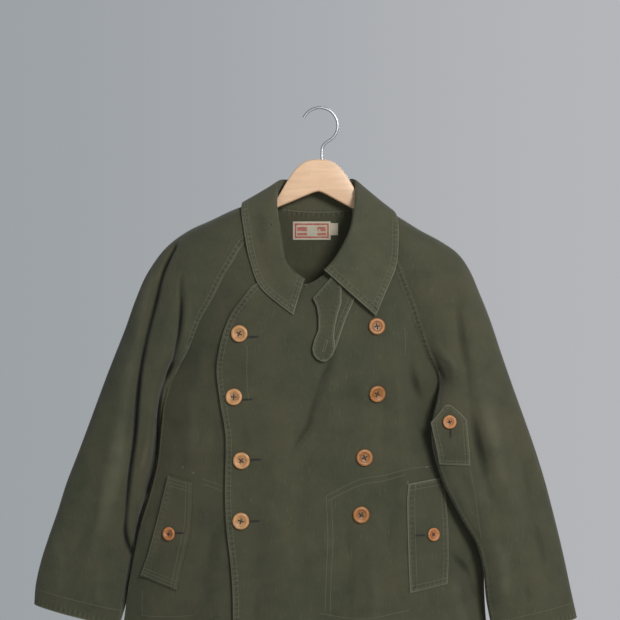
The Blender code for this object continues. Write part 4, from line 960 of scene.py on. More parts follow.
@functools.lru_cache(maxsize=2)
def panels(amount):
    """The five panels, creased. Panels that share a seam meet in it."""
    sheets = {}
    for name, grid in cad_grids().items():
        rows = places(len(grid) - 1, FINER_ROWS, ROW_CELL, (False, True))
        columns = places(grid.shape[1] - 1, FINER_COLUMNS, COLUMN_CELL)
        fine = refined(grid, rows, columns)
        if name in ("front_right", "back"):
            height, reach, ease = ARMPIT
            beside = np.exp(-((fine[..., 2] - height) / reach) ** 2 - lengths(fine, 1) / SEAM_EASE)
            fine[..., 0] -= ease * beside
        sewn, bands = PANEL_SEWING[name]
        own = RIGHT_SLEEVE_CREASES if name == "sleeve_right" else ()
        lift = EDGE_LIFT if name == "front_left" else 0.0
        sheets[name] = sewn_sheet(fine, OUTWARD[name], amount, sewn, bands, own, lift)
    rows = places(RAGLAN_ROWS + SIDE_ROWS, FINER_ROWS, ROW_CELL, (False, True))
    raglan = np.count_nonzero(rows <= RAGLAN_ROWS)
    for panel, column, sleeve, at in SHARED_SEAMS:
        body = sheets[panel].points[:raglan]
        beside = body[:, 1] if column == 0 else body[:, -2]
        out = unit(body[:, column] - beside)
        seam = (sheets[sleeve].points - SEAM_BAND_HEIGHT * sheets[sleeve].normals)[:raglan, at]
        away = seam - body[:, column] - SEAM_GAP * out
        distance = lengths(body, 1)
        if column:
            distance = distance[:, -1:] - distance
        body += away[:, None] * np.exp(-distance / SEAM_EASE)[..., None]
    return sheets


# Stitching
STITCH_LENGTH = 2.9
STITCH_SPACING = 3.9
STITCH_WIDTH = 0.85
STITCH_PROUD = 0.12
BEAD_WAIST = 0.45          # how far along its half length a bead of thread is thickest
BEAD_SINK = 0.3            # how far its ends sink in, in widths
CAST_STEP = 2.0            # between the places where a path is seated
# Rows of topstitching: panel, its border and distances from it
PANEL_STITCHING = (
    ("front_left", "left", (2.6, 8)), ("front_left", "bottom", (HEM_TURN,)),
    ("front_right", "bottom", (HEM_TURN,)), ("back", "bottom", (HEM_TURN,)),
    ("sleeve_right", "left", (2, 8.6)), ("sleeve_left", "left", (2, 8.6)),
    ("sleeve_right", "right", (2, 8.6)), ("sleeve_left", "right", (2, 8.6)),
    ("sleeve_right", "bottom", (HEM_TURN,)), ("sleeve_left", "bottom", (HEM_TURN,)),
)
OVERARM_ROWS = (-9.0, -2.5)   # rows beside the overarm seam, in mm to the front of it
# Rows sewn through a front, as (x, z) paths: pocket bags, facing line
FRONT_PATHS = (
    ((9, -580.5), (32, -568.5), (60, -556), (97.5, -550), (134, -541.5), (174, -538.5)),
    ((10.5, -588), (34, -576), (62, -564), (98, -558), (128, -550)),
    ((9, -580.5), (11.5, -640), (9, -700), (7.5, -752)),
    ((16.5, -584), (19, -640), (16.5, -700), (15, -750)), ((0, -755), (55, -763.5), (132, -752)),
    ((-176, -556.5), (-158, -561.5), (-145, -566)), ((-174, -564), (-160, -568), (-146, -573)),
    ((-267, -763.5), (-231, -763.5), (-190, -760)), ((-267, -725), (-267.5, -745), (-267, -763.5)),
    ((-108, -357), (-109, -400), (-106, -440)), ((127, -330), (128, -352), (127, -372)),
)
SLEEVE_PATHS = (
    ((223.5, -542.0), (228.0, -562.0), (237.0, -620.0), (244.5, -672.0), (246.0, -736.0)),
)
# Bartacks: centre (x, z), direction in degrees, length
BARTACKS = (
    (-205.5, -540, 60, 4), (-189, -547.5, 60, 3.6), (160.5, -540, 20, 4.5), (131, -562, 80, 5),
)
# Buttonholes: centre (x, z), direction in degrees, length, carrier, thread slot
BUTTONHOLES = (
    (-100, -344.6, 2, 19, "fronts", "dark"), (-108.5, -437.6, 3, 19, "fronts", "dark"),
    (-96, -526.8, 4, 19, "fronts", "dark"), (-97.5, -617.6, 3, 19, "fronts", "dark"),
    (-210, -637.4, 0, 16, "pocket_flap_right", "dark"),
    (149.5, -641, 0, 18, "pocket_flap_left", "dark"), (193.8, -487, 88, 16, "sleeve_tab", "dark"),
    (7.6, -357.6, 72, 19, "throat_tab", "light"),
)
BUTTONHOLE_WIDTH = 3.2
COLLAR_DOTS = ((-72.8, -176.3), (69.0, -163.5))   # small worn holes in the collar, drawn as discs painted dark as the shade inside them

# The pieces that lie on a panel: what they lie on, edges, rows, columns and rise
LYING_PIECES = {
    "throat_tab_underlay": ("fronts", UNDERLAY_EDGES, 44, 16, LIE_GAP),
    "throat_tab": ("fronts", THROAT_TAB_EDGES, 60, 20, 2 * LIE_GAP + TAB_WALL),
    "pocket_flap_right": ("fronts", RIGHT_FLAP_EDGES, 60, 22, LIE_GAP),
    "pocket_flap_left": ("fronts", LEFT_FLAP_EDGES, 60, 24, LIE_GAP),
    "sleeve_tab": ("sleeve_left", SLEEVE_TAB_EDGES, 44, 22, LIE_GAP),
}
# Rows of stitching on them: piece, border, distances
LYING_STITCHING = (
    ("throat_tab", "left", (2.6,)), ("throat_tab", "right", (2.6,)), ("throat_tab", "bottom", (2.6,)),
    ("throat_tab_underlay", "right", (2.4, 7.4)), ("throat_tab_underlay", "left", (2.4,)),
    ("pocket_flap_right", "right", (3, 9)), ("pocket_flap_right", "top", (3, 8, 13)),
    ("pocket_flap_right", "bottom", (3, 8, 13)), ("pocket_flap_left", "left", (2.6, 11)),
    ("pocket_flap_left", "right", (2.6, 8)), ("pocket_flap_left", "top", (3, 9)),
    ("pocket_flap_left", "bottom", (3, 9)), ("sleeve_tab", "left", (2.6, 6.6)),
    ("sleeve_tab", "right", (2.6, 6.6)), ("sleeve_tab", "bottom", (2.2, 5.6)),
)
# Borders that are not sewn down flat: how far each stands off, and over what width
FREE_EDGES = {"pocket_flap_right": ("left", 3.2, 16.0), "throat_tab": ("left", 1.8, 12.0)}
FLAP_EASING = 10           # how often a lying piece is eased, because doubled cloth is stiffer

# A large button's outline: part of the radius and part of the thickness
BUTTON_OUTLINE = ((0.0, 0.52), (0.42, 0.52), (0.52, 0.60), (0.60, 0.86), (0.70, 0.97), (0.80, 1.0),
                  (0.90, 0.95), (0.97, 0.80), (1.0, 0.58), (0.97, 0.34), (0.88, 0.12),
                  (0.74, 0.02), (0.0, 0.0))
BUTTON_HOLES = (2.3, 1.15)    # half the spacing of its four holes, and their radius
BUTTON_TURN = (18.0, 42.0, 8.0, 30.0, 55.0, 24.0, 70.0, 12.0, 35.0, 5.0, 62.0)

STRAND_RADIUS = 0.42       # the thread that holds a button, and how far each strand is aside
STRAND_ASIDE = 0.36
WOOD_ROUND = 3.4           # radius of the wood's rounded edges
ARM_STATIONS = 60          # sections along the head and along each arm
WOOD_SIDES = 5             # steps round each


def add_mesh(name, points, faces, look, smooth_angle=55.0, data=None):
    """A mesh object from points in mm, with per-point values, that rides on the jacket."""
    mesh = bpy.data.meshes.new(name)
    mesh.from_pydata([tuple(p) for p in np.asarray(points, float) * MM], [], faces)
    for key, values in (data or {}).items():
        kind = "FLOAT_VECTOR" if np.ndim(values) == 2 else "FLOAT"
        layer = mesh.attributes.new(key, kind, "POINT")
        layer.data.foreach_set("vector" if kind == "FLOAT_VECTOR" else "value",
                               np.asarray(values, np.float32).ravel())
    mesh.shade_smooth()
    mesh.set_sharp_from_angle(angle=math.radians(smooth_angle))
    mesh.materials.append(look)
    made = bpy.data.objects.new(name, mesh)
    bpy.context.scene.collection.objects.link(made)
    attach(made, "root")
    return made


def shell(name, sheet, outward, wall, look):
    """A sheet of cloth with its thickness. The rim between its faces is rounded."""
    outer = sheet.points
    normals = grid_normals(outer, outward)
    rows, columns = outer.shape[:2]
    inner = outer - wall * normals
    middle = (outer + inner) / 2
    out = middle.copy()
    out[:, 0] += RIM_ROUND * wall * unit(middle[:, 0] - middle[:, 1])
    out[:, -1] += RIM_ROUND * wall * unit(middle[:, -1] - middle[:, -2])
    out[0] += RIM_ROUND * wall * unit(middle[0] - middle[1])
    out[-1] += RIM_ROUND * wall * unit(middle[-1] - middle[-2])
    number = np.arange(rows * columns).reshape(rows, columns)
    cells = np.stack([number[:-1, :-1], number[1:, :-1], number[1:, 1:], number[:-1, 1:]],
                     axis=-1).reshape(-1, 4)
    if outward < 0:
        cells = cells[:, ::-1]
    rim = np.concatenate([number[:, 0], number[-1, 1:], number[-2::-1, -1], number[0, -2:0:-1]])
    if outward < 0:
        rim = rim[::-1]
    count = rows * columns
    mids = 2 * count + np.arange(len(rim))
    after = np.roll(rim, -1)
    mids_after = np.roll(mids, -1)
    faces = [tuple(f) for f in cells] + [tuple(f[::-1] + count) for f in cells]
    faces += [tuple(f) for f in np.stack([after, rim, mids, mids_after], axis=-1)]
    faces += [tuple(f) for f in np.stack([mids_after, mids, rim + count, after + count], axis=-1)]
    flat = out.reshape(-1, 3)
    points = np.concatenate([outer.reshape(-1, 3), inner.reshape(-1, 3), flat[rim]])
    across = lengths(outer, 1)
    across = across - across[:, columns // 2:columns // 2 + 1]
    cloth = np.stack([across, lengths(outer, 0), np.zeros_like(across)], axis=-1).reshape(-1, 3)

    def everywhere(values):
        return np.concatenate([values, values, values[rim]])

    data = {"edge": everywhere(sheet.edge.ravel()), "along": everywhere(sheet.along.ravel()),
            "crest": everywhere(sheet.crest.ravel()), "weave": everywhere(cloth)}
    return add_mesh(name, points, faces, look, data=data)


def plain_sheet(points, outward, sewn=("left", "right", "top", "bottom"), crest=None):
    """A sheet without creases of its own, such as a tab."""
    crest = np.zeros(points.shape[:2]) if crest is None else crest
    return Sheet(points, grid_normals(points, outward), *beside_borders(points, sewn), crest)


def row_across(points, normals, at):
    """Points and normals of a row, read at these lengths along each line of a sheet."""
    run = lengths(points, 1)
    row, up = (np.array([read_at(place, line, values)[0]
                         for place, line, values in zip(at, run, grid)]) for grid in (points, normals))
    return row, unit(up)


def offset_row(sheet, border, distance):
    """Points and normals of a row that runs beside a border, this far in from it."""
    points, normals = sheet.points, sheet.normals
    if border in ("top", "bottom"):
        points, normals = points.transpose(1, 0, 2), normals.transpose(1, 0, 2)
    if border in ("right", "bottom"):
        points, normals = points[:, ::-1], normals[:, ::-1]
    return row_across(points, normals, np.full(len(points), distance))


def cast_row(tree, path):
    """Points and normals of a path of (x, z), seated on a surface from the front."""
    path = np.asarray(path, float)
    run = path_length(path)
    even = np.linspace(0.0, run[-1], max(int(run[-1] / CAST_STEP), 2))
    bent = len(path) > 2
    smooth = spline(np.column_stack([run, path]), even) if bent else read_at(even, run, path)
    row = []
    up = []
    for x, z in smooth:
        place, normal, _, _ = tree.ray_cast(Vector((x, IN_FRONT, z)), BACKWARD)
        if place is not None:
            row.append(place[:])
            up.append(normal[:])
    return np.array(row), np.array(up)


def stitches(row, up, length=STITCH_LENGTH, spacing=STITCH_SPACING, width=STITCH_WIDTH,
             across=False):
    """Points and faces of the stitches along a row: each is a small pointed bead of thread.
    across turns them over the row, as in a buttonhole or a bartack."""
    run = path_length(row)
    if run[-1] < spacing:
        return np.zeros((0, 3)), []
    centres = np.arange(spacing / 2, run[-1], spacing)
    at = read_at(centres, run, row)
    raised = unit(read_at(centres, run, up))
    way = unit(read_at(centres + 0.5, run, row) - read_at(centres - 0.5, run, row))
    side = unit(np.cross(raised, way))
    if across:
        way, side = side, way
    at = at + STITCH_PROUD * raised
    half = length / 2
    front, back = at + way * half * BEAD_WAIST, at - way * half * BEAD_WAIST
    ring = [front + side * width / 2, front + raised * width / 2, front - side * width / 2,
            back - side * width / 2, back + raised * width / 2, back + side * width / 2]
    ends = [at + way * half - raised * width * BEAD_SINK, at - way * half - raised * width * BEAD_SINK]
    points = np.stack(ring + ends, axis=1).reshape(-1, 3)
    pattern = ((0, 1, 4, 5), (1, 2, 3, 4), (2, 0, 5, 3), (6, 1, 0), (6, 2, 1), (6, 0, 2),
               (7, 4, 3), (7, 5, 4), (7, 3, 5))
    faces = [tuple(8 * k + v for v in face) for k in range(len(at)) for face in pattern]
    return points, faces


def thread_mesh(name, rows, look, **how):
    """One mesh of all the stitches along some rows."""
    points = []
    faces = []
    start = 0
    for row, up in rows:
        if len(row) < 2:
            continue
        some, with_faces = stitches(row, up, **how)
        points.append(some)
        faces += [tuple(v + start for v in f) for f in with_faces]
        start += len(some)
    return add_mesh(name, np.concatenate(points), faces, look, 80.0)


@functools.lru_cache(maxsize=2)
def carriers(amount):
    """Trees of the creased surfaces that other pieces lie on."""
    made = panels(amount)
    trees = {"fronts": surface([(made[n].points, OUTWARD[n]) for n in ("front_right", "front_left")]),
             "body": surface([(made[n].points, OUTWARD[n]) for n in OUTWARD])}
    for name in ("sleeve_left", "sleeve_right"):
        trees[name] = surface([(made[name].points, OUTWARD[name])])
    return trees


@functools.lru_cache(maxsize=2)
def lying_sheets(amount):
    """The tabs and flaps on the creased panels, eased because they are stiffer."""
    made = {}
    for name, (carrier, edges, rows, columns, rise) in LYING_PIECES.items():
        tree = carriers(amount)[carrier]
        reach = SLEEVE_TAB_REACH if name == "sleeve_tab" else None
        under = lying(tree, strip(edges, rows, columns), rise, reach)
        for _ in range(FLAP_EASING):
            eased = under.copy()
            eased[1:-1, :, 1] = (under[:-2, :, 1] + 2 * under[1:-1, :, 1] + under[2:, :, 1]) / 4
            eased[:, 1:-1, 1] = (eased[:, :-2, 1] + 2 * eased[:, 1:-1, 1] + eased[:, 2:, 1]) / 4
            under = eased
        under = brought_forward(under, tree, rise * LIE_SHARE)
        sewn = ("left", "right", "top", "bottom")
        if name in FREE_EDGES:
            border, lift, reach = FREE_EDGES[name]
            under[..., 1] -= lift * (1 - smoothstep(0.0, reach, lengths(under, 1)))
            sewn = (border,) if name == "pocket_flap_right" else sewn
        normals = grid_normals(under, 1.0)
        normals = unit(normals + normals.mean(axis=(0, 1)))
        made[name] = plain_sheet(under + normals * TAB_WALL, 1.0, sewn)
    return made


@functools.lru_cache(maxsize=2)
def lying_trees(amount):
    return {name: surface([(sheet.points, 1.0)]) for name, sheet in lying_sheets(amount).items()}


COLLAR_FINER = (5, 4)      # rows and columns read in each cell of the solid's collar
COLLAR_CELL = 24.0         # about how far apart its columns are, in mm
CRUMPLE_ROWS = 9.0         # rows over which the collar's crumpling grows from the neckline
COLLAR_CREASES = (
    ((-75, -241), (-72, -252), (-62, -260), -2.6, 3, 5),
    ((-98, -170), (-92, -210), (-84, -246), 1.2, 12, 12),
    ((86, -170), (92, -215), (84, -270), 1, 14, 14),
)


@functools.lru_cache(maxsize=2)
def collar_sheet(amount):
    """The collar on the creased panels: its face turned away from the garment."""
    grids = cad_grids()
    plain = surface([(grids[name], OUTWARD[name]) for name in OUTWARD])
    inner = collar_grid(neckline(), plain)
    steps = np.arange(0.0, len(inner) - 1 + 1e-6, 1.0 / COLLAR_FINER[0])
    columns = places(inner.shape[1] - 1, COLLAR_FINER[1], COLLAR_CELL)
    fine = refined(inner, steps, columns)
    first_fall = int((len(inner) - len(COLLAR_FALL)) * COLLAR_FINER[0]) - 2
    body = carriers(amount)["body"]
    s = np.linspace(-1.0, 1.0, COLLAR_COLUMNS + 1)
    station = np.interp(columns, np.arange(len(s)), s)
    for half in (station < -COLLAR_FRONT[0], station > COLLAR_FRONT[0]):
        fall = np.ix_(range(first_fall, len(fine)), np.flatnonzero(half))
        fine[fall] = brought_forward(fine[fall], body, LIE_GAP)
    for i in range(first_fall, len(fine)):
        for j in range(fine.shape[1]):
            fine[i, j] = kept_clear(fine[i, j], body, LIE_GAP)
    normals = grid_normals(fine, -1.0)
    outer = fine + normals * CANVAS_WALL
    x, _, z = np.moveaxis(outer, -1, 0)
    front = smoothstep(*FACING, -normals[..., 1])
    crest = front * crease_height(x, z, COLLAR_CREASES)
    for number, (spacing, height) in enumerate(CRUMPLE[1:]):
        crest = crest + 0.5 * height * soft_noise(x + 500.0, z, spacing, number + 20)
    crest = np.maximum(crest, -0.4)
    shown = crest * smoothstep(0.0, CRUMPLE_ROWS, np.arange(len(fine))[:, None])
    return plain_sheet(outer + normals * shown[..., None], -1.0, ("left", "right", "bottom"), crest)


def turn_to(axis):
    """Rotation that takes +z to the axis."""
    return np.array(Vector(axis).to_track_quat("Z", "Y").to_matrix())


@functools.lru_cache(maxsize=4)
def button_form(diameter, segments=56):
    """Points and faces of a four-hole button about the origin, its face to +z."""
    radius = diameter / 2
    work = bpy.data.meshes.new("button_form")
    points = []
    rings = []
    for part, height in BUTTON_OUTLINE:
        count = 1 if part == 0.0 else segments
        rings.append(list(range(len(points), len(points) + count)))
        for k in range(count):
            angle = math.tau * k / segments
            points.append((part * radius * math.cos(angle), part * radius * math.sin(angle),
                           height * BUTTON_THICKNESS))
    faces = []
    for upper, lower in zip(rings, rings[1:]):
        for k in range(segments):
            after = (k + 1) % segments
            if len(upper) == 1:
                faces.append((upper[0], lower[k], lower[after]))
            elif len(lower) == 1:
                faces.append((upper[after], upper[k], lower[0]))
            else:
                faces.append((upper[after], upper[k], lower[k], lower[after]))
    work.from_pydata(points, [], faces)
    body = bpy.data.objects.new("button_form", work)
    bpy.context.scene.collection.objects.link(body)
    spread, hole = (value * diameter / LARGE_BUTTON for value in BUTTON_HOLES)
    for x in (-spread, spread):
        for y in (-spread, spread):
            bpy.ops.mesh.primitive_cylinder_add(vertices=20, radius=hole, location=(x, y, 0),
                                                depth=4 * BUTTON_THICKNESS)
            cutter = bpy.context.object
            cut = body.modifiers.new("Hole", "BOOLEAN")
            cut.operation = "DIFFERENCE"
            cut.solver = "EXACT"
            cut.object = cutter
    made = body.evaluated_get(bpy.context.evaluated_depsgraph_get()).to_mesh()
    found = (np.array([v.co[:] for v in made.vertices]),
             [tuple(p.vertices) for p in made.polygons])
    for cut in list(body.modifiers):
        bpy.data.objects.remove(cut.object, do_unlink=True)
    bpy.data.objects.remove(body, do_unlink=True)
    return found


def ring_faces(start, steps, count):
    """Faces between rings of points, from each ring to the next."""
    return [(a + k, a + (k + 1) % count, a + (k + 1) % count + count, a + k + count)
            for a in range(start, start + steps * count, count) for k in range(count)]


def thread_cross(diameter, sides=8, steps=10):
    """Points and faces of the two strands of thread that cross over a button's holes."""
    spread = BUTTON_HOLES[0] * diameter / LARGE_BUTTON
    low = BUTTON_OUTLINE[0][1] * BUTTON_THICKNESS
    points = []
    faces = []
    for turn in (45.0, -45.0):
        for strand in (-STRAND_ASIDE, STRAND_ASIDE):
            direction = np.array([math.cos(math.radians(turn)), math.sin(math.radians(turn)), 0.0])
            aside = np.array([-direction[1], direction[0], 0.0])
            start = len(points)
            for i in range(steps + 1):
                t = 2 * i / steps - 1
                height = low + 0.75 * (1 - t * t) - 1.1 * abs(t) ** 6
                centre = direction * spread * 1.45 * t + aside * strand
                for k in range(sides):
                    angle = math.tau * k / sides
                    points.append(centre + STRAND_RADIUS * (math.cos(angle) * aside)
                                  + np.array([0.0, 0.0, height + STRAND_RADIUS * math.sin(angle)]))
            faces += ring_faces(start, steps, sides)
            faces.append(tuple(start + k for k in range(sides))[::-1])
            faces.append(tuple(start + steps * sides + k for k in range(sides)))
    return np.array(points), faces


def button_places(amount):
    """Name, diameter, seat, normal and turn of every button, on the creased cloth."""
    trees = {"fronts": carriers(amount)["fronts"], **lying_trees(amount)}
    wanted = [(f"{column}_{number}", place, "fronts", LARGE_BUTTON)
              for column, spots in LARGE_BUTTONS.items() for number, place in enumerate(spots, 1)]
    wanted += [(name, place, carrier, SMALL_BUTTON)
               for name, (place, carrier) in SMALL_BUTTONS.items()]
    found = []
    for (name, (x, z), carrier, diameter), turn in zip(wanted, BUTTON_TURN):
        tree = trees[carrier]
        spots = []
        for angle in np.linspace(0.0, math.tau, 16, endpoint=False):
            reach = diameter / 2
            there = Vector((x + reach * math.cos(angle), IN_FRONT, z + reach * math.sin(angle)))
            met = tree.ray_cast(there, BACKWARD)[0]
            if met is not None:
                spots.append(met[:])
        spots = np.array(spots)
        middle = spots.mean(axis=0)
        normal = np.linalg.svd(spots - middle)[2][2]
        normal = normal if normal[1] < 0 else -normal
        centre = np.array(tree.ray_cast(Vector((x, IN_FRONT, z)), BACKWARD)[0][:])
        highest = max(float(np.max((spots - centre) @ normal)), 0.0)
        found.append((name, diameter, centre + normal * (highest + SEAM_GAP), normal, turn))
    return found


def label_sheet(x0, x1, top, bottom, amount):
    """A label sewn inside the back, a little crumpled."""
    back = panels(amount)["back"]
    inner = back.points - back.normals * SHELL_WALL
    tree = surface([(inner, 1.0)])
    columns = np.linspace(x0, x1, LABEL_GRID[0])
    rows = np.linspace(top, bottom, LABEL_GRID[1])
    grid = np.array([[(x, seat_y(tree, x, z, 0.0), z) for x in columns] for z in rows])
    x, _, z = np.moveaxis(grid, -1, 0)
    gap, depth, spacing = LABEL_CRUMPLE
    grid[..., 1] -= gap + depth * (1 + soft_noise(x, z, spacing, 40))
    normals = grid_normals(grid, 1.0)
    return plain_sheet(grid + normals * LABEL_WALL, 1.0)


def wood_form():
    """Points and faces of the hanger's wooden body, with rounded edges."""
    half = WOOD_THICKNESS / 2
    drop = CANVAS_WALL + ARM_CLEARANCE
    head_reach = HANGER_HEAD[-1][0]
    stations = np.concatenate([np.linspace(0.0, head_reach, ARM_STATIONS),
                               np.linspace(head_reach + 1.0, ARM_END, ARM_STATIONS),
                               ARM_END + ARM_TIP * np.sin(np.linspace(0.1, 1.0, 8) * math.pi / 2)])
    quarter = np.linspace(0.0, math.pi / 2, WOOD_SIDES + 1)
    arms = []
    for sign, table in ((-1.0, RIGHT_SLEEVE), (1.0, LEFT_SLEEVE)):
        line_x, line_z = ridge(table)
        order = np.argsort(line_x)

        def shoulder(x):
            return float(np.interp(x, line_x[order], line_z[order]))

        end_z = shoulder(HANGER_MIDDLE_X + sign * ARM_END) - drop - ARM_HEIGHT_END
        arm = []
        for reach in stations:
            x = HANGER_MIDDLE_X + sign * reach
            slope = (shoulder(x + 1.0) - shoulder(x - 1.0)) / 2
            under_cloth = shoulder(x) - drop * math.sqrt(1 + slope * slope)
            head = float(spline(HANGER_HEAD, reach)[0][0])
            top = head + (under_cloth - head) * smoothstep(head_reach - 5.0, head_reach + 2.0, reach)
            along = reach / ARM_END
            arm_under = top - ARM_HEIGHT_NEAR - (ARM_HEIGHT_END - ARM_HEIGHT_NEAR) * along
            bottom = (HANGER_APEX_Z + (end_z - HANGER_APEX_Z) * along
                      - APEX_ROUND[0] * math.exp(-(reach / APEX_ROUND[1]) ** 2))
            past = max(reach - ARM_END, 0.0) / ARM_TIP
            if past > 0:
                middle = (top + arm_under) / 2
                shrink = math.sqrt(max(1 - past * past, 0.05))
                top = middle + (top - middle) * shrink
                bottom = middle + (arm_under - middle) * shrink
            turn = min(WOOD_ROUND, (top - bottom) / 2.5)
            ring = []
            for centre_y, centre_z, start in ((half - turn, top - turn, 0.0),
                                              (half - turn, bottom + turn, -math.pi / 2),
                                              (turn - half, bottom + turn, -math.pi),
                                              (turn - half, top - turn, math.pi / 2)):
                for angle in (quarter[::-1] + start):
                    ring.append((x, centre_y + turn * math.cos(angle),
                                 centre_z + turn * math.sin(angle)))
            arm.append(ring)
        arms.append(arm)
    rings = arms[0][:0:-1] + arms[1]
    count = len(rings[0])
    points = [p for ring in rings for p in ring]
    faces = [tuple(range(count))[::-1], tuple(range(len(points) - count, len(points)))]
    return points, faces + ring_faces(0, len(rings) - 1, count)


def hook_route():
    """The wire's centre line as x and z: round the loop, back to the middle, down the stem."""
    radius = WIRE_DIAMETER / 2
    angles = np.radians(np.linspace(*HOOK_LOOP, 22))
    loop = np.column_stack([HOOK_RADIUS * np.cos(angles),
                            radius - HOOK_RADIUS + HOOK_RADIUS * np.sin(angles)])
    stem = HANGER_HEAD[0][1] - STEM_DEPTH + SEAM_GAP + 1.0
    route = np.concatenate([loop, HOOK_BEND, [(STEM_X, stem)]])
    length = path_length(route)
    return spline(np.column_stack([length, route]), np.linspace(0.0, length[-1], 120))


class Value:
    """A socket that can be used in sums: each operator adds the Math node it stands for."""

    def __init__(self, tree, socket):
        self.tree = tree
        self.socket = socket

    def _math(self, operation, *others):
        node = self.tree.nodes.new("ShaderNodeMath")
        node.operation = operation
        for place, other in zip(node.inputs, others):
            if isinstance(other, Value):
                self.tree.links.new(other.socket, place)
            else:
                place.default_value = other
        return Value(self.tree, node.outputs[0])

    def __add__(self, other):
        return self._math("ADD", self, other)

    def __radd__(self, other):
        return self._math("ADD", other, self)

    def __sub__(self, other):
        return self._math("SUBTRACT", self, other)

    def __rsub__(self, other):
        return self._math("SUBTRACT", other, self)

    def __mul__(self, other):
        return self._math("MULTIPLY", self, other)

    def __rmul__(self, other):
        return self._math("MULTIPLY", other, self)

    def __truediv__(self, other):
        return self._math("DIVIDE", self, other)

    def __pow__(self, other):
        return self._math("POWER", self, other)

    def __neg__(self):
        return self._math("MULTIPLY", self, -1.0)

    def sine(self):
        return self._math("SINE", self)

    def exponent(self):
        return self._math("EXPONENT", self)

    def size(self):
        return self._math("ABSOLUTE", self)

    def at_least(self, other):
        return self._math("MAXIMUM", self, other)

    def at_most(self, other):
        return self._math("MINIMUM", self, other)

    def above(self, other):
        return self._math("GREATER_THAN", self, other)

    def step(self, low, high):
        """0 below low, 1 above high, smooth between."""
        t = ((self - low) / (high - low)).at_least(0.0).at_most(1.0)
        return t * t * (3.0 - 2.0 * t)


class Finish:
    """A material being made: a Principled BSDF and the nodes that feed it."""

    def __init__(self, name, **constants):
        self.material = bpy.data.materials.new(name)
        self.material.use_nodes = True
        self.tree = self.material.node_tree
        self.shader = self.tree.nodes["Principled BSDF"]
        for key, value in constants.items():
            self.shader.inputs[key.replace("_", " ").title().replace("Ior", "IOR")].default_value = value

    def node(self, kind, settings=None, inputs=None):
        """A node of this type, its settings set first, then its sockets."""
        made = self.tree.nodes.new(kind)
        for key, value in (settings or {}).items():
            setattr(made, key, value)
        for key, value in (inputs or {}).items():
            socket = made.inputs[key]
            if isinstance(value, Value):
                self.tree.links.new(value.socket, socket)
            else:
                socket.default_value = value
        return made

    def out(self, made, key=0):
        return Value(self.tree, made.outputs[key])

    def attribute(self, name, key="Fac"):
        return self.out(self.node("ShaderNodeAttribute", {"attribute_name": name}), key)

    def place(self):
        return self.out(self.node("ShaderNodeTexCoord"), "Object")

    def scaled(self, vector, scale):
        return self.out(self.node("ShaderNodeMapping", {}, {"Vector": vector, "Scale": scale}))

    def noise(self, vector, scale, detail=4.0, roughness=0.55):
        inputs = {"Vector": vector, "Scale": scale, "Detail": detail, "Roughness": roughness}
        return self.out(self.node("ShaderNodeTexNoise", {}, inputs))

    def mixed(self, factor, first, second):
        """A colour between two, each a colour or a link."""
        made = self.tree.nodes.new("ShaderNodeMix")
        made.data_type = "RGBA"
        for socket, value in zip((made.inputs[0], made.inputs[6], made.inputs[7]),
                                 (factor, first, second)):
            if isinstance(value, Value):
                self.tree.links.new(value.socket, socket)
            elif isinstance(value, float):
                socket.default_value = value
            else:
                socket.default_value = (*value, 1.0)
        return Value(self.tree, made.outputs[2])

    def parts(self, vector):
        made = self.node("ShaderNodeSeparateXYZ", {}, {"Vector": vector})
        return [self.out(made, k) for k in range(3)]

    def feed(self, key, value):
        self.tree.links.new(value.socket, self.shader.inputs[key])

    def raise_surface(self, heights):
        """Bump from (height, distance in metres) pairs, one over the other."""
        normal = None
        for height, distance in heights:
            inputs = {"Height": height, "Distance": distance, "Strength": 1.0}
            if normal is not None:
                inputs["Normal"] = normal
            normal = self.out(self.node("ShaderNodeBump", {}, inputs))
        self.feed("Normal", normal)


def shade(colour, factor):
    return tuple(min(c * factor, 1.0) for c in colour)


# Weave and wear, in mm
THREAD_PITCH = 1.15
PUCKER_PITCH = 7.5
PUCKER_MIDDLE = 5.2        # how far from the edge the puckers are strongest
PUCKER_REACH = 3.6
EDGE_WEAR = 1.9
PAINTED_CREASE_SHADE = (-2.6, -7.8)      # creases this deep are painted darker: painted shade in their troughs
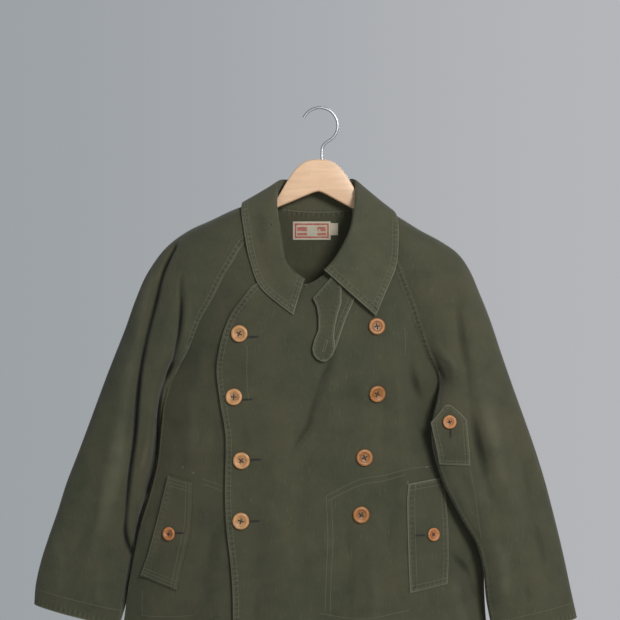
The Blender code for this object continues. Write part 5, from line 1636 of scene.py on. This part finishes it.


def canvas(name, cloth, tone=1.0, warm=0.35, gather=1.0, worn=0.0):
    """Faded cotton canvas: mottled dye, pale worn edges, puckered beside its stitching, with painted
    shade darkening its deep crease troughs.
    """
    look = Finish(name, roughness=0.93, sheen_weight=cloth.sheen, sheen_roughness=0.5,
                  specular_ior_level=0.10)
    here = look.place()
    edge = look.attribute("edge")
    along = look.attribute("along")
    crest = look.attribute("crest")
    across, down, _ = look.parts(look.attribute("weave", "Vector"))
    broad = look.noise(here, 6.5, 3.0)
    patch = look.noise(here, 26.0, 5.0, 0.62)
    fleck = look.noise(here, 420.0, 3.0, 0.6)
    slub = look.noise(look.scaled(here, (700.0, 700.0, 60.0)), 1.0, 2.0)
    warp = (across * (math.tau / THREAD_PITCH)).sine()
    weft = (down * (math.tau / THREAD_PITCH)).sine()
    weave = warp * weft
    drift = look.noise(here, 55.0, 2.0)
    jitter = look.noise(here, 150.0, 2.0)
    ripple = ((along * (math.tau / PUCKER_PITCH)) + (drift - 0.5) * 5.0
              + (jitter - 0.5) * 3.0).sine()
    away = (edge - PUCKER_MIDDLE) / PUCKER_REACH
    beside = (-(away * away)).exponent()
    pucker = ripple * beside * ((jitter - 0.30) * 2.2 * gather).at_least(0.0)
    worn_edge = (1.0 - edge.step(0.2, EDGE_WEAR)) * (patch * 1.4 + worn).at_most(1.0)
    worn_crest = crest.step(0.6, 4.5) * patch
    worn_pucker = (pucker.at_least(0.0) * 0.9) * (patch + 0.2)
    base = tuple(cloth.colour)
    brown = tuple(cloth.faded)
    pale = tuple(cloth.worn)
    colour = look.mixed((broad.step(0.34, 0.66) * 0.75 + warm - 0.35).at_least(0.0).at_most(1.0),
                        shade(base, tone), shade(brown, tone))
    colour = look.mixed(patch.step(0.40, 0.72) * 0.36, colour, shade(brown, 1.2 * tone))
    colour = look.mixed((1.0 - patch.step(0.28, 0.45)) * 0.40, colour, shade(base, 0.74 * tone))
    colour = look.mixed((worn_edge * 0.52 + worn_crest * 0.30 + worn_pucker * 0.42).at_most(0.85),
                        colour, shade(pale, tone))
    grooved = (-pucker).at_least(0.0) * 0.45 + (1.0 - fleck.step(0.30, 0.5)) * 0.14
    colour = look.mixed((grooved + (1.0 - weave.step(-0.9, 0.4)) * 0.10).at_most(0.7),
                        colour, shade(base, 0.52 * tone))
    colour = look.mixed((slub.step(0.58, 0.8) * 0.22).at_most(1.0), colour, shade(pale, 0.9 * tone))
    # Painted shade: the deepest crease troughs are darkened nearly to black in the colour
    painted_crease_shade = (crest - PAINTED_CREASE_SHADE[0]) / (PAINTED_CREASE_SHADE[1] - PAINTED_CREASE_SHADE[0])
    painted_crease_shade = painted_crease_shade.at_least(0.0).at_most(1.0)
    colour = look.mixed(painted_crease_shade * 0.92, colour, shade(base, 0.10 * tone))
    look.feed("Base Color", colour)
    look.feed("Roughness", 0.88 + 0.09 * fleck)
    look.raise_surface((
        (look.noise(here, 46.0, 4.0), 0.0016 * cloth.crumple),
        (pucker, 0.0007 * cloth.pucker),
        (weave * 0.6 + fleck * 0.7 + slub * 0.5, 0.00012),
    ))
    return look.material


def thread_finish(name, colour):
    look = Finish(name, roughness=0.75, sheen_weight=0.15, sheen_roughness=0.4)
    here = look.place()
    look.feed("Base Color", look.mixed(look.noise(here, 160.0, 3.0), shade(colour, 0.62),
                                       shade(colour, 1.25)))
    look.feed("Roughness", 0.68 + 0.2 * look.noise(here, 900.0))
    return look.material


def painted_shade_gap(name, cloth):
    """Canvas painted near black: painted shade inside a buttonhole's slot and a worn hole."""
    look = Finish(name, roughness=0.95)
    here = look.place()
    base = tuple(cloth.colour)
    look.feed("Base Color", look.mixed(look.noise(here, 300.0), shade(base, 0.12),
                                       shade(base, 0.32)))
    return look.material


# Colour of a button: its part of the trim's colour, by where it is sewn
BUTTON_TINTS = {"pocket": (0.92, 0.74, 0.60), "left": (0.64, 0.54, 0.30), "right": (0.93, 1.02, 1.05)}


def corozo(name, trim, centre, number):
    """Turned vegetable-ivory button: orange-tan rim, mottled, paler and browner in places."""
    look = Finish(name, roughness=0.4, coat_weight=0.12, coat_roughness=0.25,
                  specular_ior_level=0.45)
    here = look.place()
    x, _, z = look.parts(here)
    cx, _, cz = (float(c) * MM for c in centre)
    run = ((x - cx) * (x - cx) + (z - cz) * (z - cz)) ** 0.5
    turned = (run * (math.tau / 0.0011) + look.noise(here, 260.0) * 4.0).sine()
    cloud = look.noise(look.scaled(here, (1.0, 1.0, 1.7)), 130.0 + 7.0 * number, 5.0, 0.6)
    vein = look.noise(look.scaled(here, (1.0, 1.0, 0.35)), 420.0, 4.0, 0.6)
    tint = next((t for key, t in BUTTON_TINTS.items() if key in name), (1.0, 0.9, 0.85))
    base = tuple(c * t for c, t in zip(trim.button, tint))
    brown = 0.9 if name.endswith("left_4") else 0.40
    colour = look.mixed(cloud.step(0.34, 0.66), shade(base, 0.74), shade(base, 1.22))
    colour = look.mixed(vein.step(0.52, 0.70) * brown, colour, shade(base, 0.34))
    colour = look.mixed((turned * 0.5 + 0.5) * 0.12, colour, shade(base, 1.5))
    rim = run.step(0.0078, 0.0092) * (1.0 - run.step(0.0108, 0.0122))
    colour = look.mixed(rim * 0.35, colour, shade(base, 1.5))
    well = 1.0 - run.step(0.0040, 0.0072)
    colour = look.mixed(well * 0.45, colour, shade(base, 0.55))
    look.feed("Base Color", colour)
    look.feed("Roughness", 0.36 + 0.22 * cloud)
    look.raise_surface(((turned * 0.5 + cloud, 0.00009),))
    return look.material


def pale_wood(name, trim):
    """Lacquered beech, its grain along the arms."""
    look = Finish(name, roughness=0.42, coat_weight=0.25, coat_roughness=0.3)
    here = look.place()
    bent = look.noise(here, 9.0, 2.0)
    x, _, z = look.parts(here)
    grain_place = look.scaled(here, (16.0, 160.0, 160.0))
    streak = look.noise(grain_place, 1.0, 5.0, 0.6)
    ring = ((z * 260.0) + bent * 9.0 + (x * 22.0)).sine() * 0.5 + 0.5
    pore = look.noise(look.scaled(here, (90.0, 1400.0, 1400.0)), 1.0, 2.0)
    base = tuple(trim.wood)
    colour = look.mixed(streak.step(0.3, 0.7), shade(base, 0.90), shade(base, 1.06))
    colour = look.mixed(ring * 0.10, colour, shade(base, 0.80))
    colour = look.mixed(pore.step(0.58, 0.74) * 0.12, colour, shade(base, 0.58))
    look.feed("Base Color", colour)
    look.feed("Roughness", 0.36 + 0.16 * streak)
    look.raise_surface(((pore + streak * 0.6, 0.00008),))
    return look.material


def drawn_wire(name):
    look = Finish(name, metallic=1.0, roughness=0.2)
    here = look.place()
    dull = look.noise(here, 60.0, 3.0)
    look.feed("Base Color", look.mixed(dull, (0.30, 0.31, 0.33), (0.50, 0.50, 0.52)))
    look.feed("Roughness", 0.32 + 0.12 * dull)
    return look.material


# The neck label's red frame lies between these distances from its edge, in mm
LABEL_FRAME = (2.6, 5.2)


def woven_label(name, trim, width, plain=False):
    """A cream label; unless plain, with a red frame and blocks that say nothing."""
    look = Finish(name, roughness=0.85, sheen_weight=0.1)
    here = look.place()
    across, down, _ = look.parts(look.attribute("weave", "Vector"))
    edge = look.attribute("edge")
    cream = tuple(trim.label)
    red = tuple(trim.label_red)
    grime = look.noise(here, 70.0, 5.0)
    rib = (down * (math.tau / 0.9)).sine() * 0.5 + 0.5
    colour = look.mixed(grime.step(0.35, 0.7) * 0.4, cream, shade(cream, 0.66))
    if not plain:
        frame_band = edge.step(LABEL_FRAME[0] - 0.3, LABEL_FRAME[0] + 0.3) * (
            1.0 - edge.step(LABEL_FRAME[1] - 0.3, LABEL_FRAME[1] + 0.3))
        inside = edge.step(LABEL_FRAME[1] + 1.0, LABEL_FRAME[1] + 1.6)
        bars = look.noise(look.scaled(here, (150.0, 1.0, 90.0)), 1.0, 1.0).step(0.30, 0.38)
        lines = ((down * (math.tau / 9.0)).sine()).step(-0.85, -0.6)
        middle = 1.0 - across.size().step(width * 0.12, width * 0.15)
        block = inside * bars * lines * (1.0 - middle * 0.8)
        broken = look.noise(here, 620.0, 2.0).step(0.34, 0.5)
        ink = (frame_band * 0.95 + block * 0.85) * (0.6 + broken * 0.4)
        colour = look.mixed(ink.at_most(1.0), colour, red)
        colour = look.mixed(inside * middle * lines * 0.35, colour, (0.30, 0.36, 0.27))
    colour = look.mixed((1.0 - rib) * 0.16, colour, shade(cream, 0.4))
    look.feed("Base Color", colour)
    look.feed("Roughness", 0.80 + 0.12 * grime)
    look.raise_surface(((rib + grime, 0.0001),))
    return look.material


def stage_finish(name, colour):
    look = Finish(name, roughness=0.9)
    here = look.place()
    look.feed("Base Color", look.mixed(look.noise(here, 2.0), shade(colour, 0.96),
                                       shade(colour, 1.03)))
    return look.material


# How much of each thread look a piece gets
BUTTONHOLE_STITCH = (1.5, 0.62, 0.6)     # length, spacing and width of its satin stitches
BARTACK_STITCH = (2.4, 0.62, 0.6)
SLOT_WIDTH = 1.3           # the slot of a buttonhole, painted dark as shade, and how far above the cloth it lies
SLOT_RISE = 0.22
COLLAR_ROWS = (4.2, 10.2)
DOT_RADIUS = 1.1
OUTER_COLUMN = SLEEVE_AROUND / 2
WIRE_PLATING = 0.15
UNDER_SIDE = -135.0        # a path that starts left of this is on the wearer's right front


def panel_rows(name, amount):
    """The rows of topstitching on a panel."""
    sheet = panels(amount)[name]
    rows = [offset_row(sheet, border, distance)
            for panel, border, distances in PANEL_STITCHING if panel == name
            for distance in distances]
    paths = {"front_left": [p for p in FRONT_PATHS if p[0][0] >= UNDER_SIDE],
             "front_right": [p for p in FRONT_PATHS if p[0][0] < UNDER_SIDE],
             "sleeve_left": SLEEVE_PATHS}.get(name, ())
    tree = carriers(amount)["sleeve_left" if name == "sleeve_left" else "fronts"]
    rows += [cast_row(tree, path) for path in paths]
    if name.startswith("sleeve"):
        columns = places(SLEEVE_AROUND, FINER_COLUMNS, COLUMN_CELL)
        outer = int(np.argmin(np.abs(columns - OUTER_COLUMN)))
        run = lengths(sheet.points, 1)
        for distance in OVERARM_ROWS:
            rows.append(row_across(sheet.points, sheet.normals, run[:, outer] + distance))
    return rows


def short_row(tree, x, z, degrees, length, aside=0.0):
    """A straight row through (x, z) on a surface, moved aside by so much."""
    way = np.array([math.cos(math.radians(degrees)), math.sin(math.radians(degrees))])
    side = np.array([-way[1], way[0]]) * aside
    middle = np.array([x, z]) + side
    return cast_row(tree, (middle - way * length / 2, middle + way * length / 2))


def ribbon(row, up, width, rise):
    """A flat band along a row."""
    way = unit(np.gradient(row, axis=0))
    side = unit(np.cross(up, way))
    taper = np.sqrt(np.clip(np.sin(np.linspace(0.0, math.pi, len(row))), 0.0, 1.0))[:, None]
    left = row + side * width / 2 * taper + up * rise
    right = row - side * width / 2 * taper + up * rise
    points = np.concatenate([left, right])
    n = len(row)
    return points, [(i, i + 1, n + i + 1, n + i) for i in range(n - 1)]


def colour_setting(name, description, default):
    """A colour that the panel offers."""
    return bpy.props.FloatVectorProperty(name=name, description=description, subtype="COLOR",
                                         size=3, default=default)


class JacketCloth(bpy.types.PropertyGroup):
    """Sizes and colours of the canvas."""
    creases: bpy.props.FloatProperty(
        name="Creases", description="How deep the creases are, 1 as worn", default=1.0, min=0.0, max=1.5)
    colour: colour_setting("Colour", "Dyed canvas", (0.0415, 0.0445, 0.0270))
    faded: colour_setting("Faded", "Canvas that light and washing have faded", (0.0530, 0.0500, 0.0300))
    worn: colour_setting("Worn", "Canvas rubbed pale on edges and puckers", (0.150, 0.152, 0.104))
    sheen: bpy.props.FloatProperty(
        name="Nap", description="Sheen of the cotton's nap", default=0.10, min=0.0, max=1.0)
    crumple: bpy.props.FloatProperty(
        name="Crumple", description="Depth of the fine crumpling", default=1.0, min=0.0, max=3.0)
    pucker: bpy.props.FloatProperty(
        name="Pucker", description="Depth of the puckers beside stitching", default=1.0, min=0.0,
        max=3.0)
    thread: colour_setting("Thread", "Topstitching", (0.098, 0.098, 0.064))
    dark_thread: colour_setting("Dark thread", "Buttonholes and button thread", (0.019, 0.016, 0.013))


class JacketTrim(bpy.types.PropertyGroup):
    """Colours of the buttons, label and hanger."""
    button: colour_setting("Button", "Vegetable ivory", (0.36, 0.165, 0.060))
    label: colour_setting("Label", "Woven label's ground", (0.40, 0.355, 0.265))
    label_red: colour_setting("Label pattern", "Woven label's frame and bars", (0.27, 0.030, 0.022))
    wood: colour_setting("Wood", "The hanger's beech", (0.565, 0.370, 0.225))


# Stage, in metres
CAMERA_X = -0.015
CAMERA_Z = -0.3045
LIT_PLACE = Vector((0.0, 0.0, -0.45))     # where the lights point
# Each light's name, place and width
LIGHTS = (("key", (1.3, -2.75, 0.75), 1.0), ("fill", (-1.6, -2.6, -0.2), 1.8),
          ("rear", (0.7, 2.6, 0.7), 1.6))
WALL_BLEND = 0.16          # how gradually the surroundings go from left to right
FLOOR_HALF = 2.6
FLOOR_Z = -1.6


class JacketStage(bpy.types.PropertyGroup):
    """Camera, light and surroundings."""
    distance: bpy.props.FloatProperty(
        name="Camera distance", description="From the hook to the camera", default=3.3,
        min=1.0, unit="LENGTH")
    lens: bpy.props.FloatProperty(
        name="Lens", description="Focal length in mm", default=126.5, min=20.0)
    key: bpy.props.FloatProperty(
        name="Key light", description="Power of the large soft light", default=96.0, min=0.0,
        unit="POWER")
    fill: bpy.props.FloatProperty(
        name="Fill light", description="Power of the weak light from the left", default=9.0,
        min=0.0, unit="POWER")
    rear: bpy.props.FloatProperty(
        name="Rear light", description="Power of the soft light behind the jacket", default=30.0,
        min=0.0, unit="POWER")
    surround: bpy.props.FloatProperty(
        name="Surroundings", description="Strength of the light from all round", default=1.0,
        min=0.0)
    shaded: colour_setting("Wall, left", "Surroundings on the left", (0.335, 0.360, 0.378))
    lit: colour_setting("Wall, right", "Surroundings on the right", (0.462, 0.468, 0.490))
    floor: colour_setting("Floor", "Pale floor", (0.62, 0.61, 0.59))


def canvas_look(cloth, kind, tone, warm, gather=1.0, worn=0.0):
    """The canvas of one group of pieces, made once."""
    name = f"canvas_{kind}"
    return bpy.data.materials.get(name) or canvas(name, cloth, tone, warm, gather, worn)


def thread_look(cloth, kind):
    name = f"thread_{kind}"
    colour = cloth.dark_thread if kind == "dark" else cloth.thread
    return bpy.data.materials.get(name) or thread_finish(name, tuple(colour)[:3])


# Tone and brownness of each panel's canvas
PANEL_TONES = {"back": (0.96, 0.30), "front_right": (1.0, 0.34), "front_left": (1.03, 0.36),
               "sleeve_right": (1.02, 0.34), "sleeve_left": (1.10, 0.52)}


class JACKET_OT_panels(bpy.types.Operator):
    """Makes the back, the two fronts and the two sleeves, with their stitching"""
    bl_idname = "jacket.panels"
    bl_label = "Panels"

    def execute(self, context):
        cloth = context.scene.jacket_cloth
        for name, made in panels(cloth.creases).items():
            tone, warm = PANEL_TONES[name]
            piece = shell(f"{name}_cloth", made, OUTWARD[name], SHELL_WALL,
                          canvas_look(cloth, name, tone, warm))
            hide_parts(name)
            seams = thread_mesh(f"{name}_stitching", panel_rows(name, cloth.creases),
                                thread_look(cloth, "olive"))
        return {"FINISHED"}


class JACKET_OT_collar(bpy.types.Operator):
    """Makes the collar, stand and fall in one, with its double rows of stitching"""
    bl_idname = "jacket.collar"
    bl_label = "Collar"

    def execute(self, context):
        cloth = context.scene.jacket_cloth
        made = collar_sheet(cloth.creases)
        piece = shell("collar_cloth", made, -1.0, CANVAS_WALL,
                      canvas_look(cloth, "collar", 1.22, 0.42))
        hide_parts("collar")
        rows = [offset_row(made, border, distance) for border in ("left", "right", "bottom")
                for distance in COLLAR_ROWS]
        seams = thread_mesh("collar_stitching", rows, thread_look(cloth, "olive"))
        tree = surface([(made.points, -1.0)])
        points = []
        faces = []
        for x, z in COLLAR_DOTS:
            place, normal, _, _ = tree.ray_cast(Vector((x, IN_FRONT, z)), BACKWARD)
            middle = np.array(place[:]) + 0.08 * np.array(normal[:])
            frame_x = unit(np.cross([0.0, 0.0, 1.0], normal[:]))
            frame_z = np.cross(normal[:], frame_x)
            ring = [middle + DOT_RADIUS * (math.cos(a) * frame_x + math.sin(a) * frame_z)
                    for a in np.linspace(0.0, math.tau, 12, endpoint=False)]
            faces.append(tuple(range(len(points), len(points) + 12)))
            points += ring
        # The worn holes are discs painted dark: painted shade where each hole opens
        dots = add_mesh("collar_worn_holes", points, faces, painted_shade_gap("worn_hole", cloth))
        return {"FINISHED"}


class JACKET_OT_tabs(bpy.types.Operator):
    """Makes the throat tab, its underlay, the pocket flaps and the sleeve tab"""
    bl_idname = "jacket.tabs"
    bl_label = "Tabs and flaps"

    def execute(self, context):
        cloth = context.scene.jacket_cloth
        for name, made in lying_sheets(cloth.creases).items():
            look = canvas_look(cloth, "tabs", 1.04, 0.38, 0.55, 0.35)
            piece = shell(f"{name}_cloth", made, 1.0, TAB_WALL, look)
            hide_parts(name)
            rows = [offset_row(made, border, distance)
                    for owner, border, distances in LYING_STITCHING if owner == name
                    for distance in distances]
            seams = thread_mesh(f"{name}_stitching", rows, thread_look(cloth, "olive"))
        return {"FINISHED"}


class JACKET_OT_buttonholes(bpy.types.Operator):
    """Makes the buttonholes and the bartacks"""
    bl_idname = "jacket.buttonholes"
    bl_label = "Buttonholes and bartacks"

    def execute(self, context):
        cloth = context.scene.jacket_cloth
        trees = {**carriers(cloth.creases), **lying_trees(cloth.creases)}
        length, spacing, width = BUTTONHOLE_STITCH
        slots = ([], [])
        for number, (x, z, degrees, long, carrier, kind) in enumerate(BUTTONHOLES, 1):
            tree = trees[carrier]
            aside = BUTTONHOLE_WIDTH / 2 - length / 4
            rows = [short_row(tree, x, z, degrees, long, side) for side in (-aside, aside)]
            thread_mesh(f"buttonhole_{number}", rows, thread_look(cloth, kind),
                        length=length, spacing=spacing, width=width, across=True)
            row, up = short_row(tree, x, z, degrees, long - 1.0)
            points, faces = ribbon(row, unit(up), SLOT_WIDTH, SLOT_RISE)
            start = len(slots[0])
            slots[0].extend(points)
            slots[1].extend(tuple(v + start for v in f) for f in faces)
        # The slots are bands painted dark: painted shade inside each buttonhole
        add_mesh("buttonhole_slots", slots[0], slots[1], painted_shade_gap("buttonhole_dark", cloth))
        length, spacing, width = BARTACK_STITCH
        rows = [short_row(trees["fronts"], x, z, degrees, long)
                for x, z, degrees, long in BARTACKS]
        thread_mesh("bartacks", rows, thread_look(cloth, "olive"), length=length,
                    spacing=spacing, width=width, across=True)
        return {"FINISHED"}


class JACKET_OT_buttons(bpy.types.Operator):
    """Makes the eleven four-hole buttons and the thread that holds them"""
    bl_idname = "jacket.buttons"
    bl_label = "Buttons"

    def execute(self, context):
        scene = context.scene
        dark = thread_look(scene.jacket_cloth, "dark")
        for number, (name, diameter, seat, normal, turn) in enumerate(
                button_places(scene.jacket_cloth.creases)):
            spin = np.array([[math.cos(math.radians(turn)), -math.sin(math.radians(turn)), 0.0],
                             [math.sin(math.radians(turn)), math.cos(math.radians(turn)), 0.0],
                             [0.0, 0.0, 1.0]])
            turned = turn_to(normal) @ spin
            points, faces = button_form(diameter)
            look = corozo(f"corozo_{name}", scene.jacket_trim, seat, number)
            piece = add_mesh(f"{name}_turned", points @ turned.T + seat, faces, look, 40.0)
            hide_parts(name)
            points, faces = thread_cross(diameter)
            add_mesh(f"{name}_thread", points @ turned.T + seat, faces, dark, 60.0)
        return {"FINISHED"}


class JACKET_OT_labels(bpy.types.Operator):
    """Makes the neck label and the small tab beside it"""
    bl_idname = "jacket.labels"
    bl_label = "Labels"

    def execute(self, context):
        scene = context.scene
        for name, place, plain, slot in (("neck_label", NECK_LABEL, False, "label"),
                                         ("size_tab", SIZE_TAB, True, "size_tab")):
            made = label_sheet(*place, scene.jacket_cloth.creases)
            look = woven_label(f"{name}_weave", scene.jacket_trim, place[1] - place[0], plain)
            piece = shell(f"{name}_cloth", made, 1.0, LABEL_WALL * 0.6, look)
            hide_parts(name)
        return {"FINISHED"}


class JACKET_OT_hanger(bpy.types.Operator):
    """Makes the wooden hanger and its wire hook"""
    bl_idname = "jacket.hanger"
    bl_label = "Hanger"

    def execute(self, context):
        trim = context.scene.jacket_trim
        points, faces = wood_form()
        piece = add_mesh("hanger_wood_turned", points, faces, pale_wood("beech", trim), 50.0)
        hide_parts("hanger_wood")
        line = bpy.data.curves.new("hook_wire", "CURVE")
        line.dimensions = "3D"
        line.bevel_depth = (WIRE_DIAMETER / 2 + WIRE_PLATING) * MM
        line.bevel_resolution = 8
        line.use_fill_caps = True
        strand = line.splines.new("POLY")
        route = hook_route()
        strand.points.add(len(route) - 1)
        for point, (x, z) in zip(strand.points, route):
            point.co = (x * MM, 0.0, z * MM, 1.0)
        line.materials.append(drawn_wire("drawn_wire"))
        wire = bpy.data.objects.new("hanger_hook_wire", line)
        context.scene.collection.objects.link(wire)
        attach(wire, "root")
        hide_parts("hanger_hook")
        return {"FINISHED"}


class JACKET_OT_stage(bpy.types.Operator):
    """Makes the camera, the lights, the surroundings and the floor"""
    bl_idname = "jacket.stage"
    bl_label = "Stage"

    def execute(self, context):
        scene = context.scene
        stage = scene.jacket_stage
        scene.view_settings.view_transform = "Standard"
        camera = bpy.data.objects.new("camera", bpy.data.cameras.new("camera"))
        scene.collection.objects.link(camera)
        camera.location = (CAMERA_X, -stage.distance, CAMERA_Z)
        camera.rotation_euler = (math.radians(90.0), 0.0, 0.0)
        camera.data.sensor_width = 36.0
        camera.data.lens = stage.lens
        scene.camera = camera
        for name, place, size in LIGHTS:
            light = bpy.data.lights.new(name, "AREA")
            light.shape = "DISK"
            light.size = size
            light.energy = getattr(stage, name)
            lamp = bpy.data.objects.new(name, light)
            lamp.location = place
            lamp.rotation_euler = (LIT_PLACE - Vector(place)).to_track_quat("-Z", "Y").to_euler()
            scene.collection.objects.link(lamp)
        world = bpy.data.worlds.new("surroundings")
        world.use_nodes = True
        scene.world = world
        tree = world.node_tree
        place = tree.nodes.new("ShaderNodeTexCoord")
        split = tree.nodes.new("ShaderNodeSeparateXYZ")
        tree.links.new(place.outputs["Generated"], split.inputs[0])
        side = Value(tree, split.outputs[0]).step(-WALL_BLEND, WALL_BLEND)
        mix = tree.nodes.new("ShaderNodeMix")
        mix.data_type = "RGBA"
        tree.links.new(side.socket, mix.inputs[0])
        mix.inputs[6].default_value = (*stage.shaded, 1.0)
        mix.inputs[7].default_value = (*stage.lit, 1.0)
        sky = tree.nodes["Background"]
        sky.inputs["Strength"].default_value = stage.surround
        tree.links.new(mix.outputs[2], sky.inputs["Color"])
        mesh = bpy.data.meshes.new("floor")
        corners = ((-1, -1), (1, -1), (1, 1), (-1, 1))
        mesh.from_pydata([(x * FLOOR_HALF, y * FLOOR_HALF, FLOOR_Z) for x, y in corners], [],
                         [(0, 1, 2, 3)])
        mesh.materials.append(stage_finish("pale_floor", tuple(stage.floor)))
        floor = bpy.data.objects.new("floor", mesh)
        scene.collection.objects.link(floor)
        return {"FINISHED"}


class JACKET_PT_panel(bpy.types.Panel):
    """Lists the jacket's settings and pieces"""
    bl_label = "Jacket"
    bl_idname = "JACKET_PT_panel"
    bl_space_type = "VIEW_3D"
    bl_region_type = "UI"
    bl_category = "Jacket"

    def draw(self, context):
        for group in (context.scene.jacket_cloth, context.scene.jacket_trim,
                      context.scene.jacket_stage):
            box = self.layout.box()
            for key in group.bl_rna.properties.keys():
                if key not in ("rna_type", "name"):
                    box.prop(group, key)
        for piece in OPERATORS:
            self.layout.operator(piece.bl_idname)


GROUPS = (("jacket_cloth", JacketCloth), ("jacket_trim", JacketTrim), ("jacket_stage", JacketStage))
OPERATORS = (JACKET_OT_panels, JACKET_OT_collar, JACKET_OT_tabs, JACKET_OT_buttonholes,
             JACKET_OT_buttons, JACKET_OT_labels, JACKET_OT_hanger, JACKET_OT_stage)


def register():
    for key, group in GROUPS:
        bpy.utils.register_class(group)
        setattr(bpy.types.Scene, key, bpy.props.PointerProperty(type=group))
    for made in (*OPERATORS, JACKET_PT_panel):
        bpy.utils.register_class(made)


def unregister():
    for made in (JACKET_PT_panel, *reversed(OPERATORS)):
        bpy.utils.unregister_class(made)
    for key, group in reversed(GROUPS):
        delattr(bpy.types.Scene, key)
        bpy.utils.unregister_class(group)


def main():
    register()
    bpy.ops.jacket.panels()
    bpy.ops.jacket.collar()
    bpy.ops.jacket.tabs()
    bpy.ops.jacket.buttonholes()
    bpy.ops.jacket.buttons()
    bpy.ops.jacket.labels()
    bpy.ops.jacket.hanger()
    bpy.ops.jacket.stage()


if __name__ == "__main__":
    main()
